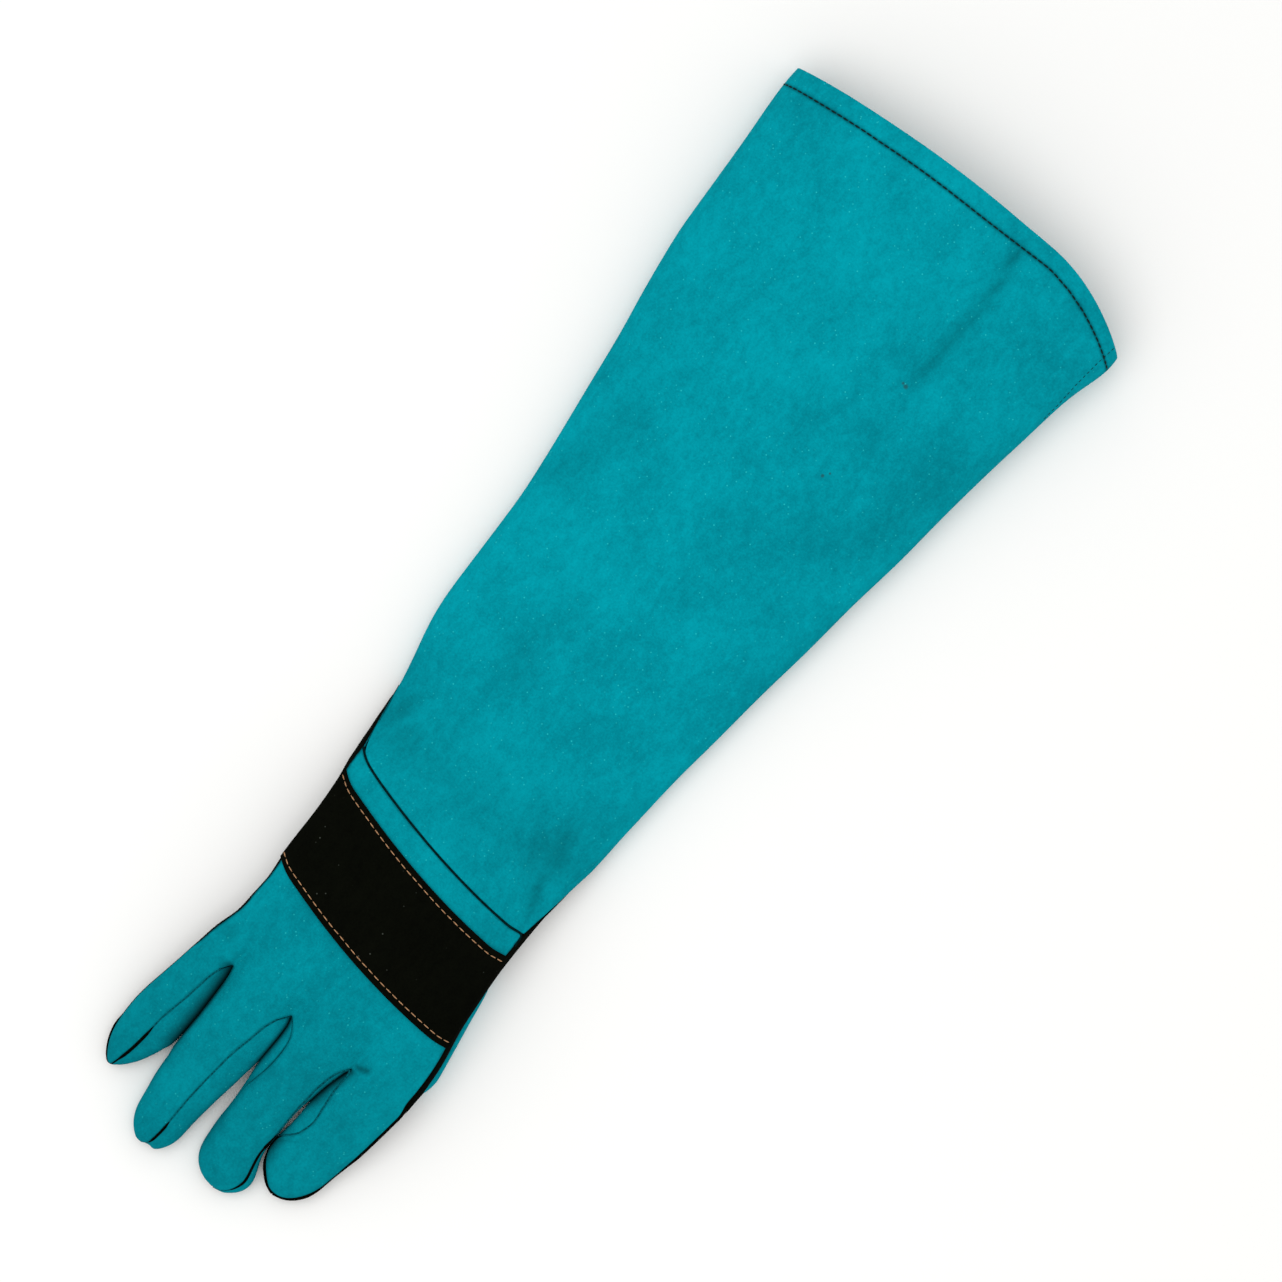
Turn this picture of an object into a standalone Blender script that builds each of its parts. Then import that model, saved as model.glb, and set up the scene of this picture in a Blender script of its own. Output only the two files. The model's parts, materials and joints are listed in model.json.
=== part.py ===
"""Leather animal handling glove for the right hand, lying palm down.

Lengths are in metres. +Y runs from the cuff towards the fingertips, +X towards the little
finger and +Z up through the back of the hand. While the glove is modelled, Y is 0 at the
narrowest place of the wrist. The whole is then moved so that the origin lies below the
middle of its bounding box, on the surface that it rests on.
"""
import math
from collections import namedtuple

import bmesh
import bpy
from mathutils import Vector

# Driving sizes of the cuff and the wrist
CUFF_TO_WRIST = 0.425
CUFF_WIDTH = 0.206
CUFF_HEIGHT = 0.046
WRIST_WIDTH = 0.112
WRIST_HEIGHT = 0.022
HEM_DEPTH = 0.0095
INDEX_CORNER_RISE = 0.020
LITTLE_CORNER_RISE = 0.008

# Driving sizes of the hand, the fingers and the thumb
WRIST_TO_FINGERS = 0.081
KNUCKLE_WIDTH = 0.1277
KNUCKLE_HEIGHT = 0.020
FINGER_HEIGHT = 0.016
FINGERTIP_ROUND = 0.016
INDEX_LENGTH = 0.073
MIDDLE_LENGTH = 0.089
RING_LENGTH = 0.0945
LITTLE_LENGTH = 0.0745
THUMB_LENGTH = 0.0757
THUMB_WIDTH = 0.040
THUMB_HEIGHT = 0.011
THUMB_OVERHANG = 0.0019
THUMB_HOLE_WIDTH = 0.020
THUMB_HOLE_LENGTH = 0.050

# Driving sizes of the seams across the wrist
SEAM_TO_WRIST = 0.021
SEAM_SLANT = 0.0102
SEAM_BOW = 0.0046
SEAM_CORNER_DROP = 0.003
INDEX_SIDE_NOTCH = 0.043
LITTLE_SIDE_NOTCH = 0.071
PALM_TONGUE = 0.075
STRIP_WIDTH = 0.013
BAND_WIDTH = 0.0515

# Leather and clearances
LEATHER = 0.0016
BAND_LEATHER = 0.0015
HEM_LEATHER = 0.0034
SEAM_GAP = 0.0005
MITRE_LIMIT = 0.3
REST_GAP = 0.0003

# Forms of the sections: shares and powers of a rounded outline
INDEX_SHARE = 0.519
SIDE_LEVEL = 0.42
BACK_ROUND = 2.2
UNDER_ROUND = 3.0
BODY_FLAT_SHARE = 0.80
THUMB_FLAT_SHARE = 0.50
BODY_CORNER_SHARE = 0.93
LOW_EDGE_SHARE = 0.985
SEAM_CORNER_SHARE = 0.15
INDEX_CUT_SHARE = 0.6
INDEX_CUT_POWER = 2.0
LITTLE_CUT_POWER = 1.6
VALLEY_START_SHARE = 0.72
VALLEY_DEPTH_SHARE = 0.60

# Mesh counts
FINGER_COLUMNS = 4
GAUNTLET_ROWS = 22
HAND_ROWS = 14
BAND_ROWS = 6
THUMB_COLUMNS = 20
HOLE_SIDES = 28

SEAT_HEIGHT = THUMB_HEIGHT + REST_GAP
INDEX_HALF = KNUCKLE_WIDTH * INDEX_SHARE
LITTLE_HALF = KNUCKLE_WIDTH - INDEX_HALF

# Sections of the flattened tube. along is -1 at the cuff, 0 at the wrist and 1 at the
# finger gaps. The side columns say how far each edge has gone from the wrist's half width
# to the cuff's or the knuckles', and rise says the same of the thickness. lift is the
# height of the underside as a share of the thumb that it lies on.
Section = namedtuple("Section", "along index_side little_side lift rise")
GAUNTLET_SECTIONS = (
    Section(-1.000, 1.020, 0.990, 0.00, 1.00),
    Section(-0.941, 1.000, 0.970, 0.00, 0.93),
    Section(-0.882, 0.860, 0.930, 0.00, 0.85),
    Section(-0.824, 0.785, 0.900, 0.00, 0.76),
    Section(-0.765, 0.710, 0.870, 0.00, 0.67),
    Section(-0.694, 0.635, 0.785, 0.00, 0.55),
    Section(-0.624, 0.575, 0.675, 0.00, 0.44),
    Section(-0.553, 0.490, 0.585, 0.00, 0.34),
    Section(-0.482, 0.425, 0.495, 0.00, 0.26),
    Section(-0.412, 0.345, 0.425, 0.00, 0.19),
    Section(-0.341, 0.280, 0.400, 0.00, 0.14),
    Section(-0.282, 0.220, 0.380, 0.00, 0.11),
    Section(-0.224, 0.180, 0.300, 0.00, 0.09),
    Section(-0.188, 0.160, 0.210, 0.00, 0.08),
    Section(-0.153, 0.145, 0.170, 0.05, 0.06),
    Section(-0.106, 0.095, 0.130, 0.24, 0.04),
    Section(-0.071, 0.056, 0.105, 0.50, 0.02),
    Section(-0.040, 0.050, 0.047, 0.76, 0.00),
    Section(0.000, 0.049, 0.019, 1.00, 0.00),
)
HAND_SECTIONS = (
    Section(0.000, 0.223, 0.167, 1.00, 0.00),
    Section(0.185, 0.320, 0.130, 1.00, 0.00),
    Section(0.310, 0.417, 0.090, 1.00, 0.10),
    Section(0.430, 0.505, -0.200, 1.00, 0.20),
    Section(0.555, 0.680, 0.000, 1.00, 0.35),
    Section(0.655, 0.835, -0.110, 1.00, 0.50),
    Section(0.780, 0.950, 0.260, 1.00, 0.70),
    Section(0.890, 1.020, 0.740, 1.00, 0.85),
    Section(1.000, 1.000, 1.000, 1.00, 1.00),
)

# How far in from each edge the back's side seams lie, as shares of the half width
SideSeam = namedtuple("SideSeam", "along index_seam little_seam")
SIDE_SEAMS = (
    SideSeam(-1.000, 0.955, 0.955),
    SideSeam(-0.110, 0.955, 0.955),
    SideSeam(-0.075, 0.925, 0.965),
    SideSeam(-0.040, 0.960, 0.990),
    SideSeam(1.000, 0.965, 0.990),
)

# Soft folds pressed into the back. Their ends are given as shares of the half width and
# of the length, and their half width and depth as shares of the wrist's height.
Fold = namedtuple("Fold", "side along far_side far_along half_width depth")
FOLDS = (
    Fold(-0.33, -1.000, -0.42, -0.730, 0.60, 0.080),
    Fold(-0.86, -0.060, -0.62, -0.150, 0.45, 0.100),
    Fold(0.95, -0.110, 0.84, -0.180, 0.40, 0.090),
    Fold(0.90, 0.440, 0.70, 0.560, 0.40, 0.050),
)

# Gaps between neighbouring fingers. along is a share of the ring finger's length from the
# finger gaps' line, and the middle line and half width are shares of the knuckles' width.
FingerGap = namedtuple("FingerGap", "along middle half")
FINGER_GAPS = (
    (
        FingerGap(0.025, -0.256, 0.000),
        FingerGap(0.085, -0.243, 0.0045),
        FingerGap(0.170, -0.226, 0.0050),
        FingerGap(0.275, -0.213, 0.0060),
        FingerGap(0.381, -0.206, 0.0070),
        FingerGap(0.487, -0.203, 0.0055),
        FingerGap(0.593, -0.197, 0.0045),
        FingerGap(0.656, -0.204, 0.0045),
        FingerGap(0.730, -0.226, 0.0050),
        FingerGap(0.815, -0.246, 0.0050),
        FingerGap(1.000, -0.248, 0.0050),
    ),
    (
        FingerGap(0.008, 0.039, 0.000),
        FingerGap(0.064, 0.029, 0.0045),
        FingerGap(0.148, 0.026, 0.0050),
        FingerGap(0.275, 0.028, 0.0055),
        FingerGap(0.381, 0.028, 0.0080),
        FingerGap(0.487, 0.030, 0.0170),
        FingerGap(0.582, 0.034, 0.0230),
        FingerGap(0.688, 0.039, 0.0270),
        FingerGap(0.783, 0.038, 0.0350),
        FingerGap(1.000, 0.045, 0.0360),
    ),
    (
        FingerGap(-0.005, 0.325, 0.000),
        FingerGap(0.064, 0.316, 0.0045),
        FingerGap(0.170, 0.312, 0.0045),
        FingerGap(0.307, 0.309, 0.0045),
        FingerGap(0.413, 0.311, 0.0045),
        FingerGap(0.508, 0.314, 0.0060),
        FingerGap(0.593, 0.323, 0.0200),
        FingerGap(0.688, 0.335, 0.0360),
        FingerGap(0.783, 0.347, 0.0610),
        FingerGap(1.000, 0.370, 0.1000),
    ),
)

# Outer edges of the index and the little finger, in the same shares
FingerEdge = namedtuple("FingerEdge", "along index_edge little_edge")
FINGER_EDGES = (
    FingerEdge(0.000, -0.519, 0.481),
    FingerEdge(0.085, -0.510, 0.491),
    FingerEdge(0.190, -0.502, 0.504),
    FingerEdge(0.286, -0.493, 0.517),
    FingerEdge(0.381, -0.483, 0.529),
    FingerEdge(0.487, -0.467, 0.535),
    FingerEdge(0.582, -0.454, 0.532),
    FingerEdge(0.677, -0.439, 0.521),
    FingerEdge(0.783, -0.423, 0.501),
)

# Underside and thickness along every finger. lift is a share of the thumb's height, and
# slim is 0 at the knuckles' thickness and 1 at the fingers' own.
FingerSide = namedtuple("FingerSide", "along lift slim")
FINGER_SIDES = (
    FingerSide(0.00, 1.00, 0.00),
    FingerSide(0.10, 0.95, 0.25),
    FingerSide(0.25, 0.78, 0.60),
    FingerSide(0.45, 0.46, 0.90),
    FingerSide(0.65, 0.15, 1.00),
    FingerSide(0.80, 0.00, 1.00),
    FingerSide(1.00, 0.00, 1.00),
)

# Seams along each finger, in degrees from straight up, below 0 towards the index side
Seams = namedtuple("Seams", "along index_top little_top little_low index_low")
Finger = namedtuple("Finger", "length tip_middle seams")
FINGERS = (
    Finger(INDEX_LENGTH, -0.321, (
        Seams(0.06, -75, 62, 125, -122),
        Seams(0.30, -75, 43, 125, -122),
        Seams(0.45, -76, 32, 122, -122),
        Seams(0.58, -77, 40, 115, -120),
        Seams(0.70, -78, 80, 108, -118),
        Seams(1.00, -80, 80, 105, -115),
    )),
    Finger(MIDDLE_LENGTH, -0.133, (
        Seams(0.06, -60, 52, 130, -130),
        Seams(0.18, -58, 41, 130, -130),
        Seams(0.32, -66, 43, 130, -130),
        Seams(0.45, -76, 75, 128, -130),
        Seams(0.62, -68, 84, 125, -128),
        Seams(0.78, -53, 84, 125, -125),
        Seams(1.00, -50, 84, 125, -125),
    )),
    Finger(RING_LENGTH, 0.168, (
        Seams(0.06, -45, 74, 135, -118),
        Seams(0.12, -33, 78, 138, -114),
        Seams(0.22, -27, 82, 140, -112),
        Seams(0.36, -18, 86, 140, -110),
        Seams(0.84, -17, 86, 140, -110),
        Seams(1.00, -15, 86, 140, -110),
    )),
    Finger(LITTLE_LENGTH, 0.449, (
        Seams(0.06, -38, 84, 125, -112),
        Seams(0.12, -27, 84, 125, -108),
        Seams(0.38, -14, 84, 125, -106),
        Seams(0.60, -6, 84, 125, -104),
        Seams(0.85, -12, 84, 122, -104),
        Seams(1.00, -13, 84, 120, -104),
    )),
)
SIDE_SHARES = (1 / 3, 2 / 3)
FINGER_RINGS = (0.06, 0.13, 0.22, 0.33, 0.45, 0.57, 0.68, 0.78, 0.86, 0.92, 0.96, 0.985)

# Sections of the thumb from the fold at the index side to the tip. middle is a share of
# the way from the wrist to the finger gaps. The half width is the base share of that way
# plus the sock share of the thumb's own half width. puff is 1 at the full height.
ThumbSection = namedtuple("ThumbSection", "along middle base sock puff")
THUMB_SECTIONS = (
    ThumbSection(0.000, 0.800, 0.000, 0.00, 0.00),
    ThumbSection(0.016, 0.790, 0.095, 0.00, 0.62),
    ThumbSection(0.042, 0.740, 0.185, 0.00, 0.88),
    ThumbSection(0.082, 0.640, 0.296, 0.00, 1.00),
    ThumbSection(0.120, 0.550, 0.388, 0.00, 1.00),
    ThumbSection(0.175, 0.500, 0.425, 0.00, 1.00),
    ThumbSection(0.306, 0.500, 0.330, 0.24, 1.00),
    ThumbSection(0.400, 0.508, 0.240, 0.50, 1.00),
    ThumbSection(0.505, 0.518, 0.140, 0.72, 1.00),
    ThumbSection(0.610, 0.528, 0.060, 0.92, 1.00),
    ThumbSection(0.700, 0.538, 0.015, 1.02, 1.00),
    ThumbSection(0.790, 0.545, 0.000, 0.97, 1.00),
    ThumbSection(0.870, 0.552, 0.000, 0.84, 1.00),
    ThumbSection(0.930, 0.560, 0.000, 0.64, 0.96),
    ThumbSection(0.972, 0.566, 0.000, 0.42, 0.80),
    ThumbSection(0.992, 0.570, 0.000, 0.20, 0.50),
    ThumbSection(1.000, 0.570, 0.000, 0.00, 0.00),
)
THUMB_HOLE_ALONG_SHARE = 0.36
THUMB_HOLE_MIDDLE_SHARE = 0.51

TEAL = (0.004, 0.265, 0.320)
BLACK = (0.004, 0.006, 0.005)
ROUGHNESS = 0.9
SHARP_ANGLE = math.radians(50)

PALM = 0
HAND_BACK = 1
FIRST_FOURCHETTE = 2
GAUNTLET = 5


def blend(start, end, share):
    """Value a share of the way from start to end."""
    return start + (end - start) * share


def read(table, column, along):
    """Smooth value of one column of a table, which never overshoots its rows."""
    places = [row.along for row in table]
    values = [getattr(row, column) for row in table]
    along = min(max(along, places[0]), places[-1])
    rises = [
        (after - before) / (far - near)
        for near, far, before, after in zip(places, places[1:], values, values[1:])
    ]
    inner = [
        2 * before * after / (before + after) if before * after > 0 else 0.0
        for before, after in zip(rises, rises[1:])
    ]
    slopes = [rises[0]] + inner + [rises[-1]]
    row = max(number for number in range(len(rises)) if places[number] <= along)
    span = places[row + 1] - places[row]
    share = (along - places[row]) / span
    ease = share * share * (3 - 2 * share)
    leave = share * (1 - share) ** 2
    arrive = share * share * (share - 1)
    curve = blend(values[row], values[row + 1], ease)
    return curve + span * (slopes[row] * leave + slopes[row + 1] * arrive)


def arch(place, power):
    """Height of a rounded outline at a place from -1 to 1, with 1 in the middle."""
    return max(0.0, 1 - abs(place) ** power) ** (1 / power)


def flat_arch(place, flat):
    """Height of an outline that is flat in the middle and rounded past the flat share."""
    past = max(0.0, abs(place) - flat) / (1 - flat)
    return math.sqrt(max(0.0, 1 - past * past))


def along_body(y):
    """Place along the glove: -1 at the cuff, 0 at the wrist and 1 at the finger gaps."""
    return y / CUFF_TO_WRIST if y < 0 else y / WRIST_TO_FINGERS


Body = namedtuple("Body", "index_edge little_edge underside thickness")


def body_at(y):
    """Edges, underside and thickness of the gauntlet and the hand at one place."""
    along = along_body(y)
    wrist_half = WRIST_WIDTH / 2
    table = GAUNTLET_SECTIONS
    index_half = CUFF_WIDTH / 2
    little_half = CUFF_WIDTH / 2
    end_height = CUFF_HEIGHT
    if y > 0:
        table = HAND_SECTIONS
        index_half = INDEX_HALF
        little_half = LITTLE_HALF
        end_height = KNUCKLE_HEIGHT
    return Body(
        -blend(wrist_half, index_half, read(table, "index_side", along)),
        blend(wrist_half, little_half, read(table, "little_side", along)),
        SEAT_HEIGHT * read(table, "lift", along),
        blend(WRIST_HEIGHT, end_height, read(table, "rise", along)),
    )


def crotch_places():
    """Finger gaps at the knuckles, as shares of the half width."""
    middle = (LITTLE_HALF - INDEX_HALF) / 2
    return [(gap[0].middle * KNUCKLE_WIDTH - middle) / (KNUCKLE_WIDTH / 2) for gap in FINGER_GAPS]


def fold_depth(x, y, thickness):
    """How deep the folds press the back in at one place."""
    depth = 0.0
    for fold in FOLDS:
        near = fold_end(fold.side, fold.along)
        far = fold_end(fold.far_side, fold.far_along)
        line = far - near
        reach = (Vector((x, y)) - near).dot(line) / line.length_squared
        nearest = near + line * min(max(reach, 0.0), 1.0)
        distance = (Vector((x, y)) - nearest).length / (fold.half_width * WRIST_HEIGHT)
        if distance < 1:
            depth += fold.depth * thickness * (0.5 + 0.5 * math.cos(math.pi * distance))
    return depth


def fold_end(side, along):
    """Plan position of one end of a fold."""
    y = along * (CUFF_TO_WRIST if along < 0 else WRIST_TO_FINGERS)
    body = body_at(y)
    half = (body.little_edge - body.index_edge) / 2
    return Vector((body.index_edge + half * (1 + side), y))


def knuckle_round(side, y):
    """Share of the height that is left where the back dips between the fingers."""
    share = min(max((along_body(y) - VALLEY_START_SHARE) / (1 - VALLEY_START_SHARE), 0.0), 1.0)
    depth = VALLEY_DEPTH_SHARE * share * share * (3 - 2 * share)
    edges = [-1.0] + crotch_places() + [1.0]
    finger = max(number for number in range(4) if edges[number] <= side)
    low, high = edges[finger], edges[finger + 1]
    return 1 - depth + depth * arch((2 * side - low - high) / (high - low), BACK_ROUND)


def body_point(side, upper, y):
    """Point of the outer face, with side -1 at the index edge and 1 at the little edge."""
    body = body_at(y)
    half = (body.little_edge - body.index_edge) / 2
    x = body.index_edge + half * (1 + side)
    height = body.underside + SIDE_LEVEL * body.thickness
    dip = knuckle_round(side, y)
    if upper:
        height += (1 - SIDE_LEVEL) * body.thickness * arch(side, BACK_ROUND) * dip
        height -= fold_depth(x, y, body.thickness)
    else:
        height -= SIDE_LEVEL * body.thickness * flat_arch(side, BODY_FLAT_SHARE) * dip
    return Vector((x, y, height))


def spread_columns(edges, number):
    """Place of one lengthwise column between the edges of the fingers it serves."""
    finger = min(number // FINGER_COLUMNS, 3)
    share = number / FINGER_COLUMNS - finger
    return blend(edges[finger], edges[finger + 1], share)


def back_side(number, y):
    """Place across the back of one column, from the index seam to the little seam."""
    index_seam = read(SIDE_SEAMS, "index_seam", along_body(y))
    little_seam = read(SIDE_SEAMS, "little_seam", along_body(y))
    return spread_columns([-index_seam] + crotch_places() + [little_seam], number)


def under_side(number):
    """Place across the underside of one column."""
    return spread_columns([-BODY_CORNER_SHARE] + crotch_places() + [BODY_CORNER_SHARE], number)


BACK_POINTS = 4 * FINGER_COLUMNS + 1
BODY_COLUMNS = (
    [("back", number) for number in range(BACK_POINTS)]
    + [("edge", 1.0), ("low_edge", LOW_EDGE_SHARE)]
    + [("under", number) for number in reversed(range(BACK_POINTS))]
    + [("low_edge", -LOW_EDGE_SHARE), ("edge", -1.0)]
)


def column_side(column, y=-SEAM_TO_WRIST):
    """Place of a column across the glove, from -1 at the index edge to 1."""
    kind, place = column
    if kind == "back":
        return back_side(place, y)
    if kind == "under":
        return under_side(place)
    return place


def column_point(column, y):
    """Point of a lengthwise column of the gauntlet and the hand."""
    return body_point(column_side(column, y), column[0] == "back", y)


def wrist_line(side):
    """Y of the seam between gauntlet and back of hand, a slanted and bowed line."""
    corner = max(0.0, 1 - (1 - abs(side)) / SEAM_CORNER_SHARE)
    bow = SEAM_SLANT * side + SEAM_BOW * side * side
    return -SEAM_TO_WRIST - bow - SEAM_CORNER_DROP * corner * corner


def wrist_seam(column):
    """Y at which a column passes from the gauntlet to the hand."""
    kind, place = column
    if kind == "back":
        return wrist_line(column_side(column))
    if kind == "under":
        return -PALM_TONGUE
    notch = -LITTLE_SIDE_NOTCH if place > 0 else -INDEX_SIDE_NOTCH
    return notch if kind == "edge" else (notch - PALM_TONGUE) / 2


def mouth_line(side):
    """Y of the cuff's edge, which is cut back towards both corners."""
    index_share = max(0.0, 1 - (1 + side) / INDEX_CUT_SHARE)
    little_share = max(0.0, side)
    index_rise = INDEX_CORNER_RISE * index_share ** INDEX_CUT_POWER
    little_rise = LITTLE_CORNER_RISE * little_share ** LITTLE_CUT_POWER
    return index_rise + little_rise - CUFF_TO_WRIST


def crotch_line(side):
    """Y of the last row of the hand, which passes through the three finger gaps."""
    knots = [(-1.0, 0.0)]
    knots += [(place, gap[0].along) for place, gap in zip(crotch_places(), FINGER_GAPS)]
    knots += [(1.0, 0.0)]
    for (near, before), (far, after) in zip(knots, knots[1:]):
        if side <= far:
            break
    step = blend(before, after, (side - near) / (far - near))
    return WRIST_TO_FINGERS + RING_LENGTH * step


def gap_edge(gap, y, towards):
    """X of one edge of the gap between two fingers, -1 for its index side and 1 for the other."""
    along = (y - WRIST_TO_FINGERS) / RING_LENGTH
    return KNUCKLE_WIDTH * (read(gap, "middle", along) + towards * read(gap, "half", along))


def finger_edges(number, index_y, little_y):
    """X of both sides of a finger before its tip is rounded."""
    if number == 0:
        along = (index_y - WRIST_TO_FINGERS) / RING_LENGTH
        index_edge = KNUCKLE_WIDTH * read(FINGER_EDGES, "index_edge", along)
    else:
        index_edge = gap_edge(FINGER_GAPS[number - 1], index_y, 1)
    if number == 3:
        along = (little_y - WRIST_TO_FINGERS) / RING_LENGTH
        little_edge = KNUCKLE_WIDTH * read(FINGER_EDGES, "little_edge", along)
    else:
        little_edge = gap_edge(FINGER_GAPS[number], little_y, -1)
    return index_edge, little_edge


def ring_angles(seams, along):
    """Directions of a finger ring's points, clockwise from the index side's top seam."""
    index_top = read(seams, "index_top", along)
    little_top = read(seams, "little_top", along)
    little_low = read(seams, "little_low", along)
    index_low = 360 + read(seams, "index_low", along)
    shares = [number / FINGER_COLUMNS for number in range(FINGER_COLUMNS + 1)]
    top = [blend(index_top, little_top, share) for share in shares]
    low = [blend(little_low, index_low, share) for share in shares]
    little_side = [blend(little_top, little_low, share) for share in SIDE_SHARES]
    index_side = [blend(index_low, 360 + index_top, share) for share in SIDE_SHARES]
    return top + little_side + low + index_side


def finger_ring(number, along):
    """Points of one ring round a finger."""
    finger = FINGERS[number]
    tip = WRIST_TO_FINGERS + finger.length
    starts = [0.0] + [gap[0].along for gap in FINGER_GAPS] + [0.0]
    index_y = blend(WRIST_TO_FINGERS + RING_LENGTH * starts[number], tip, along)
    little_y = blend(WRIST_TO_FINGERS + RING_LENGTH * starts[number + 1], tip, along)
    index_edge, little_edge = finger_edges(number, index_y, little_y)
    to_tip = min((1 - along) * finger.length / FINGERTIP_ROUND, 1.0)
    rounding = math.sqrt(1 - (1 - to_tip) ** 2)
    tip_middle = finger.tip_middle * KNUCKLE_WIDTH
    index_edge = blend(tip_middle, index_edge, rounding)
    little_edge = blend(tip_middle, little_edge, rounding)
    half = (little_edge - index_edge) / 2
    underside = SEAT_HEIGHT * read(FINGER_SIDES, "lift", along)
    thickness = blend(KNUCKLE_HEIGHT, FINGER_HEIGHT, read(FINGER_SIDES, "slim", along))
    ring = []
    for degrees in ring_angles(finger.seams, along):
        across = math.sin(math.radians(degrees))
        up = math.cos(math.radians(degrees))
        power = 2 / (BACK_ROUND if up > 0 else UNDER_ROUND)
        reach = (1 - SIDE_LEVEL if up > 0 else -SIDE_LEVEL) * thickness * rounding
        side = math.copysign(abs(across) ** power, across)
        height = underside + SIDE_LEVEL * thickness + reach * abs(up) ** power
        y = blend(index_y, little_y, (side + 1) / 2)
        ring.append(Vector((index_edge + half * (1 + side), y, height)))
    return ring


def finger_tip(number):
    """Point where a finger closes."""
    finger = FINGERS[number]
    height = SIDE_LEVEL * FINGER_HEIGHT
    return Vector((finger.tip_middle * KNUCKLE_WIDTH, WRIST_TO_FINGERS + finger.length, height))


def join_rings(skin, first, second, pieces):
    """Faces between two closed rings, each marked with the leather piece it belongs to."""
    layer = skin.faces.layers.int["piece"]
    for number, piece in enumerate(pieces):
        after = (number + 1) % len(first)
        face = skin.faces.new((first[number], first[after], second[after], second[number]))
        face[layer] = piece


def gauntlet_rows(skin):
    """Rings of the gauntlet from the cuff to the wrist seam, the first two round the hem."""
    rows = []
    for row in range(-1, GAUNTLET_ROWS + 1):
        ring = []
        for column in BODY_COLUMNS:
            mouth = mouth_line(column_side(column))
            y = mouth
            if row >= 0:
                y = blend(mouth + HEM_DEPTH, wrist_seam(column), row / GAUNTLET_ROWS)
            ring.append(skin.verts.new(column_point(column, y)))
        rows.append(ring)
    return rows


def hand_rows(skin):
    """Rings of the hand past the wrist seam, up to the finger gaps."""
    rows = []
    for row in range(1, HAND_ROWS + 1):
        ring = []
        for column in BODY_COLUMNS:
            end = crotch_line(column_side(column))
            y = blend(wrist_seam(column), end, row / HAND_ROWS)
            ring.append(skin.verts.new(column_point(column, y)))
        rows.append(ring)
    return rows


def finger_starts(skin, last_row):
    """First ring of each finger, which shares its points with the hand's last row."""
    back = last_row[:BACK_POINTS]
    little_edge = last_row[BACK_POINTS:BACK_POINTS + 2]
    under = last_row[BACK_POINTS + 2:-2]
    index_edge = last_row[-2:]
    sides = [index_edge[::-1]]
    for gap in range(1, 4):
        top = back[gap * FINGER_COLUMNS].co
        low = under[(4 - gap) * FINGER_COLUMNS].co
        sides.append([skin.verts.new(top.lerp(low, share)) for share in SIDE_SHARES])
    sides.append(little_edge)
    starts = []
    for number in range(4):
        top = back[number * FINGER_COLUMNS:(number + 1) * FINGER_COLUMNS + 1]
        low = under[(3 - number) * FINGER_COLUMNS:(4 - number) * FINGER_COLUMNS + 1]
        starts.append(top + sides[number + 1] + low + sides[number][::-1])
    return starts


def finger_pieces(number):
    """Leather pieces round a finger, in the order of its ring's faces."""
    little_side = FIRST_FOURCHETTE + number if number < 3 else PALM
    index_side = FIRST_FOURCHETTE + number - 1 if number > 0 else PALM
    back = [HAND_BACK] * FINGER_COLUMNS
    under = [PALM] * FINGER_COLUMNS
    return back + [little_side] * 3 + under + [index_side] * 3


def glove_skin():
    """Outer face of gauntlet and hand, from the cuff's edge to the four fingertips."""
    skin = bmesh.new()
    layer = skin.faces.layers.int.new("piece")
    wall = skin.verts.layers.float.new("wall")
    cuff_rows = gauntlet_rows(skin)
    rows = [cuff_rows[-1]] + hand_rows(skin)
    back_faces = BACK_POINTS - 1
    pieces = [HAND_BACK] * back_faces + [PALM] * (len(BODY_COLUMNS) - back_faces)
    for first, second in zip(cuff_rows, cuff_rows[1:]):
        join_rings(skin, first, second, [GAUNTLET] * len(first))
    for first, second in zip(rows, rows[1:]):
        join_rings(skin, first, second, pieces)
    for number, ring in enumerate(finger_starts(skin, rows[-1])):
        pieces = finger_pieces(number)
        for along in FINGER_RINGS:
            next_ring = [skin.verts.new(point) for point in finger_ring(number, along)]
            join_rings(skin, ring, next_ring, pieces)
            ring = next_ring
        tip = skin.verts.new(finger_tip(number))
        for place, piece in enumerate(pieces):
            face = skin.faces.new((ring[place], ring[(place + 1) % len(ring)], tip))
            face[layer] = piece
    skin.normal_update()
    skin.verts.index_update()
    for vert in skin.verts:
        vert[wall] = LEATHER
    for vert in cuff_rows[0] + cuff_rows[1]:
        vert[wall] = HEM_LEATHER
    return skin


def seam_step(vert, piece_faces):
    """Step from a seam into a leather piece, half a seam gap long."""
    steps = []
    for edge in vert.link_edges:
        own = [face for face in edge.link_faces if face in piece_faces]
        if len(own) == 1:
            line = (edge.other_vert(vert).co - vert.co).normalized()
            step = own[0].normal.cross(line)
            if step.dot(own[0].calc_center_median() - vert.co) < 0:
                step.negate()
            steps.append(step)
    if not steps:
        return Vector()
    mitre = max(MITRE_LIMIT, 1 + steps[0].dot(steps[1]))
    return (steps[0] + steps[1]) * (SEAM_GAP / 2 / mitre)


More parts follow.
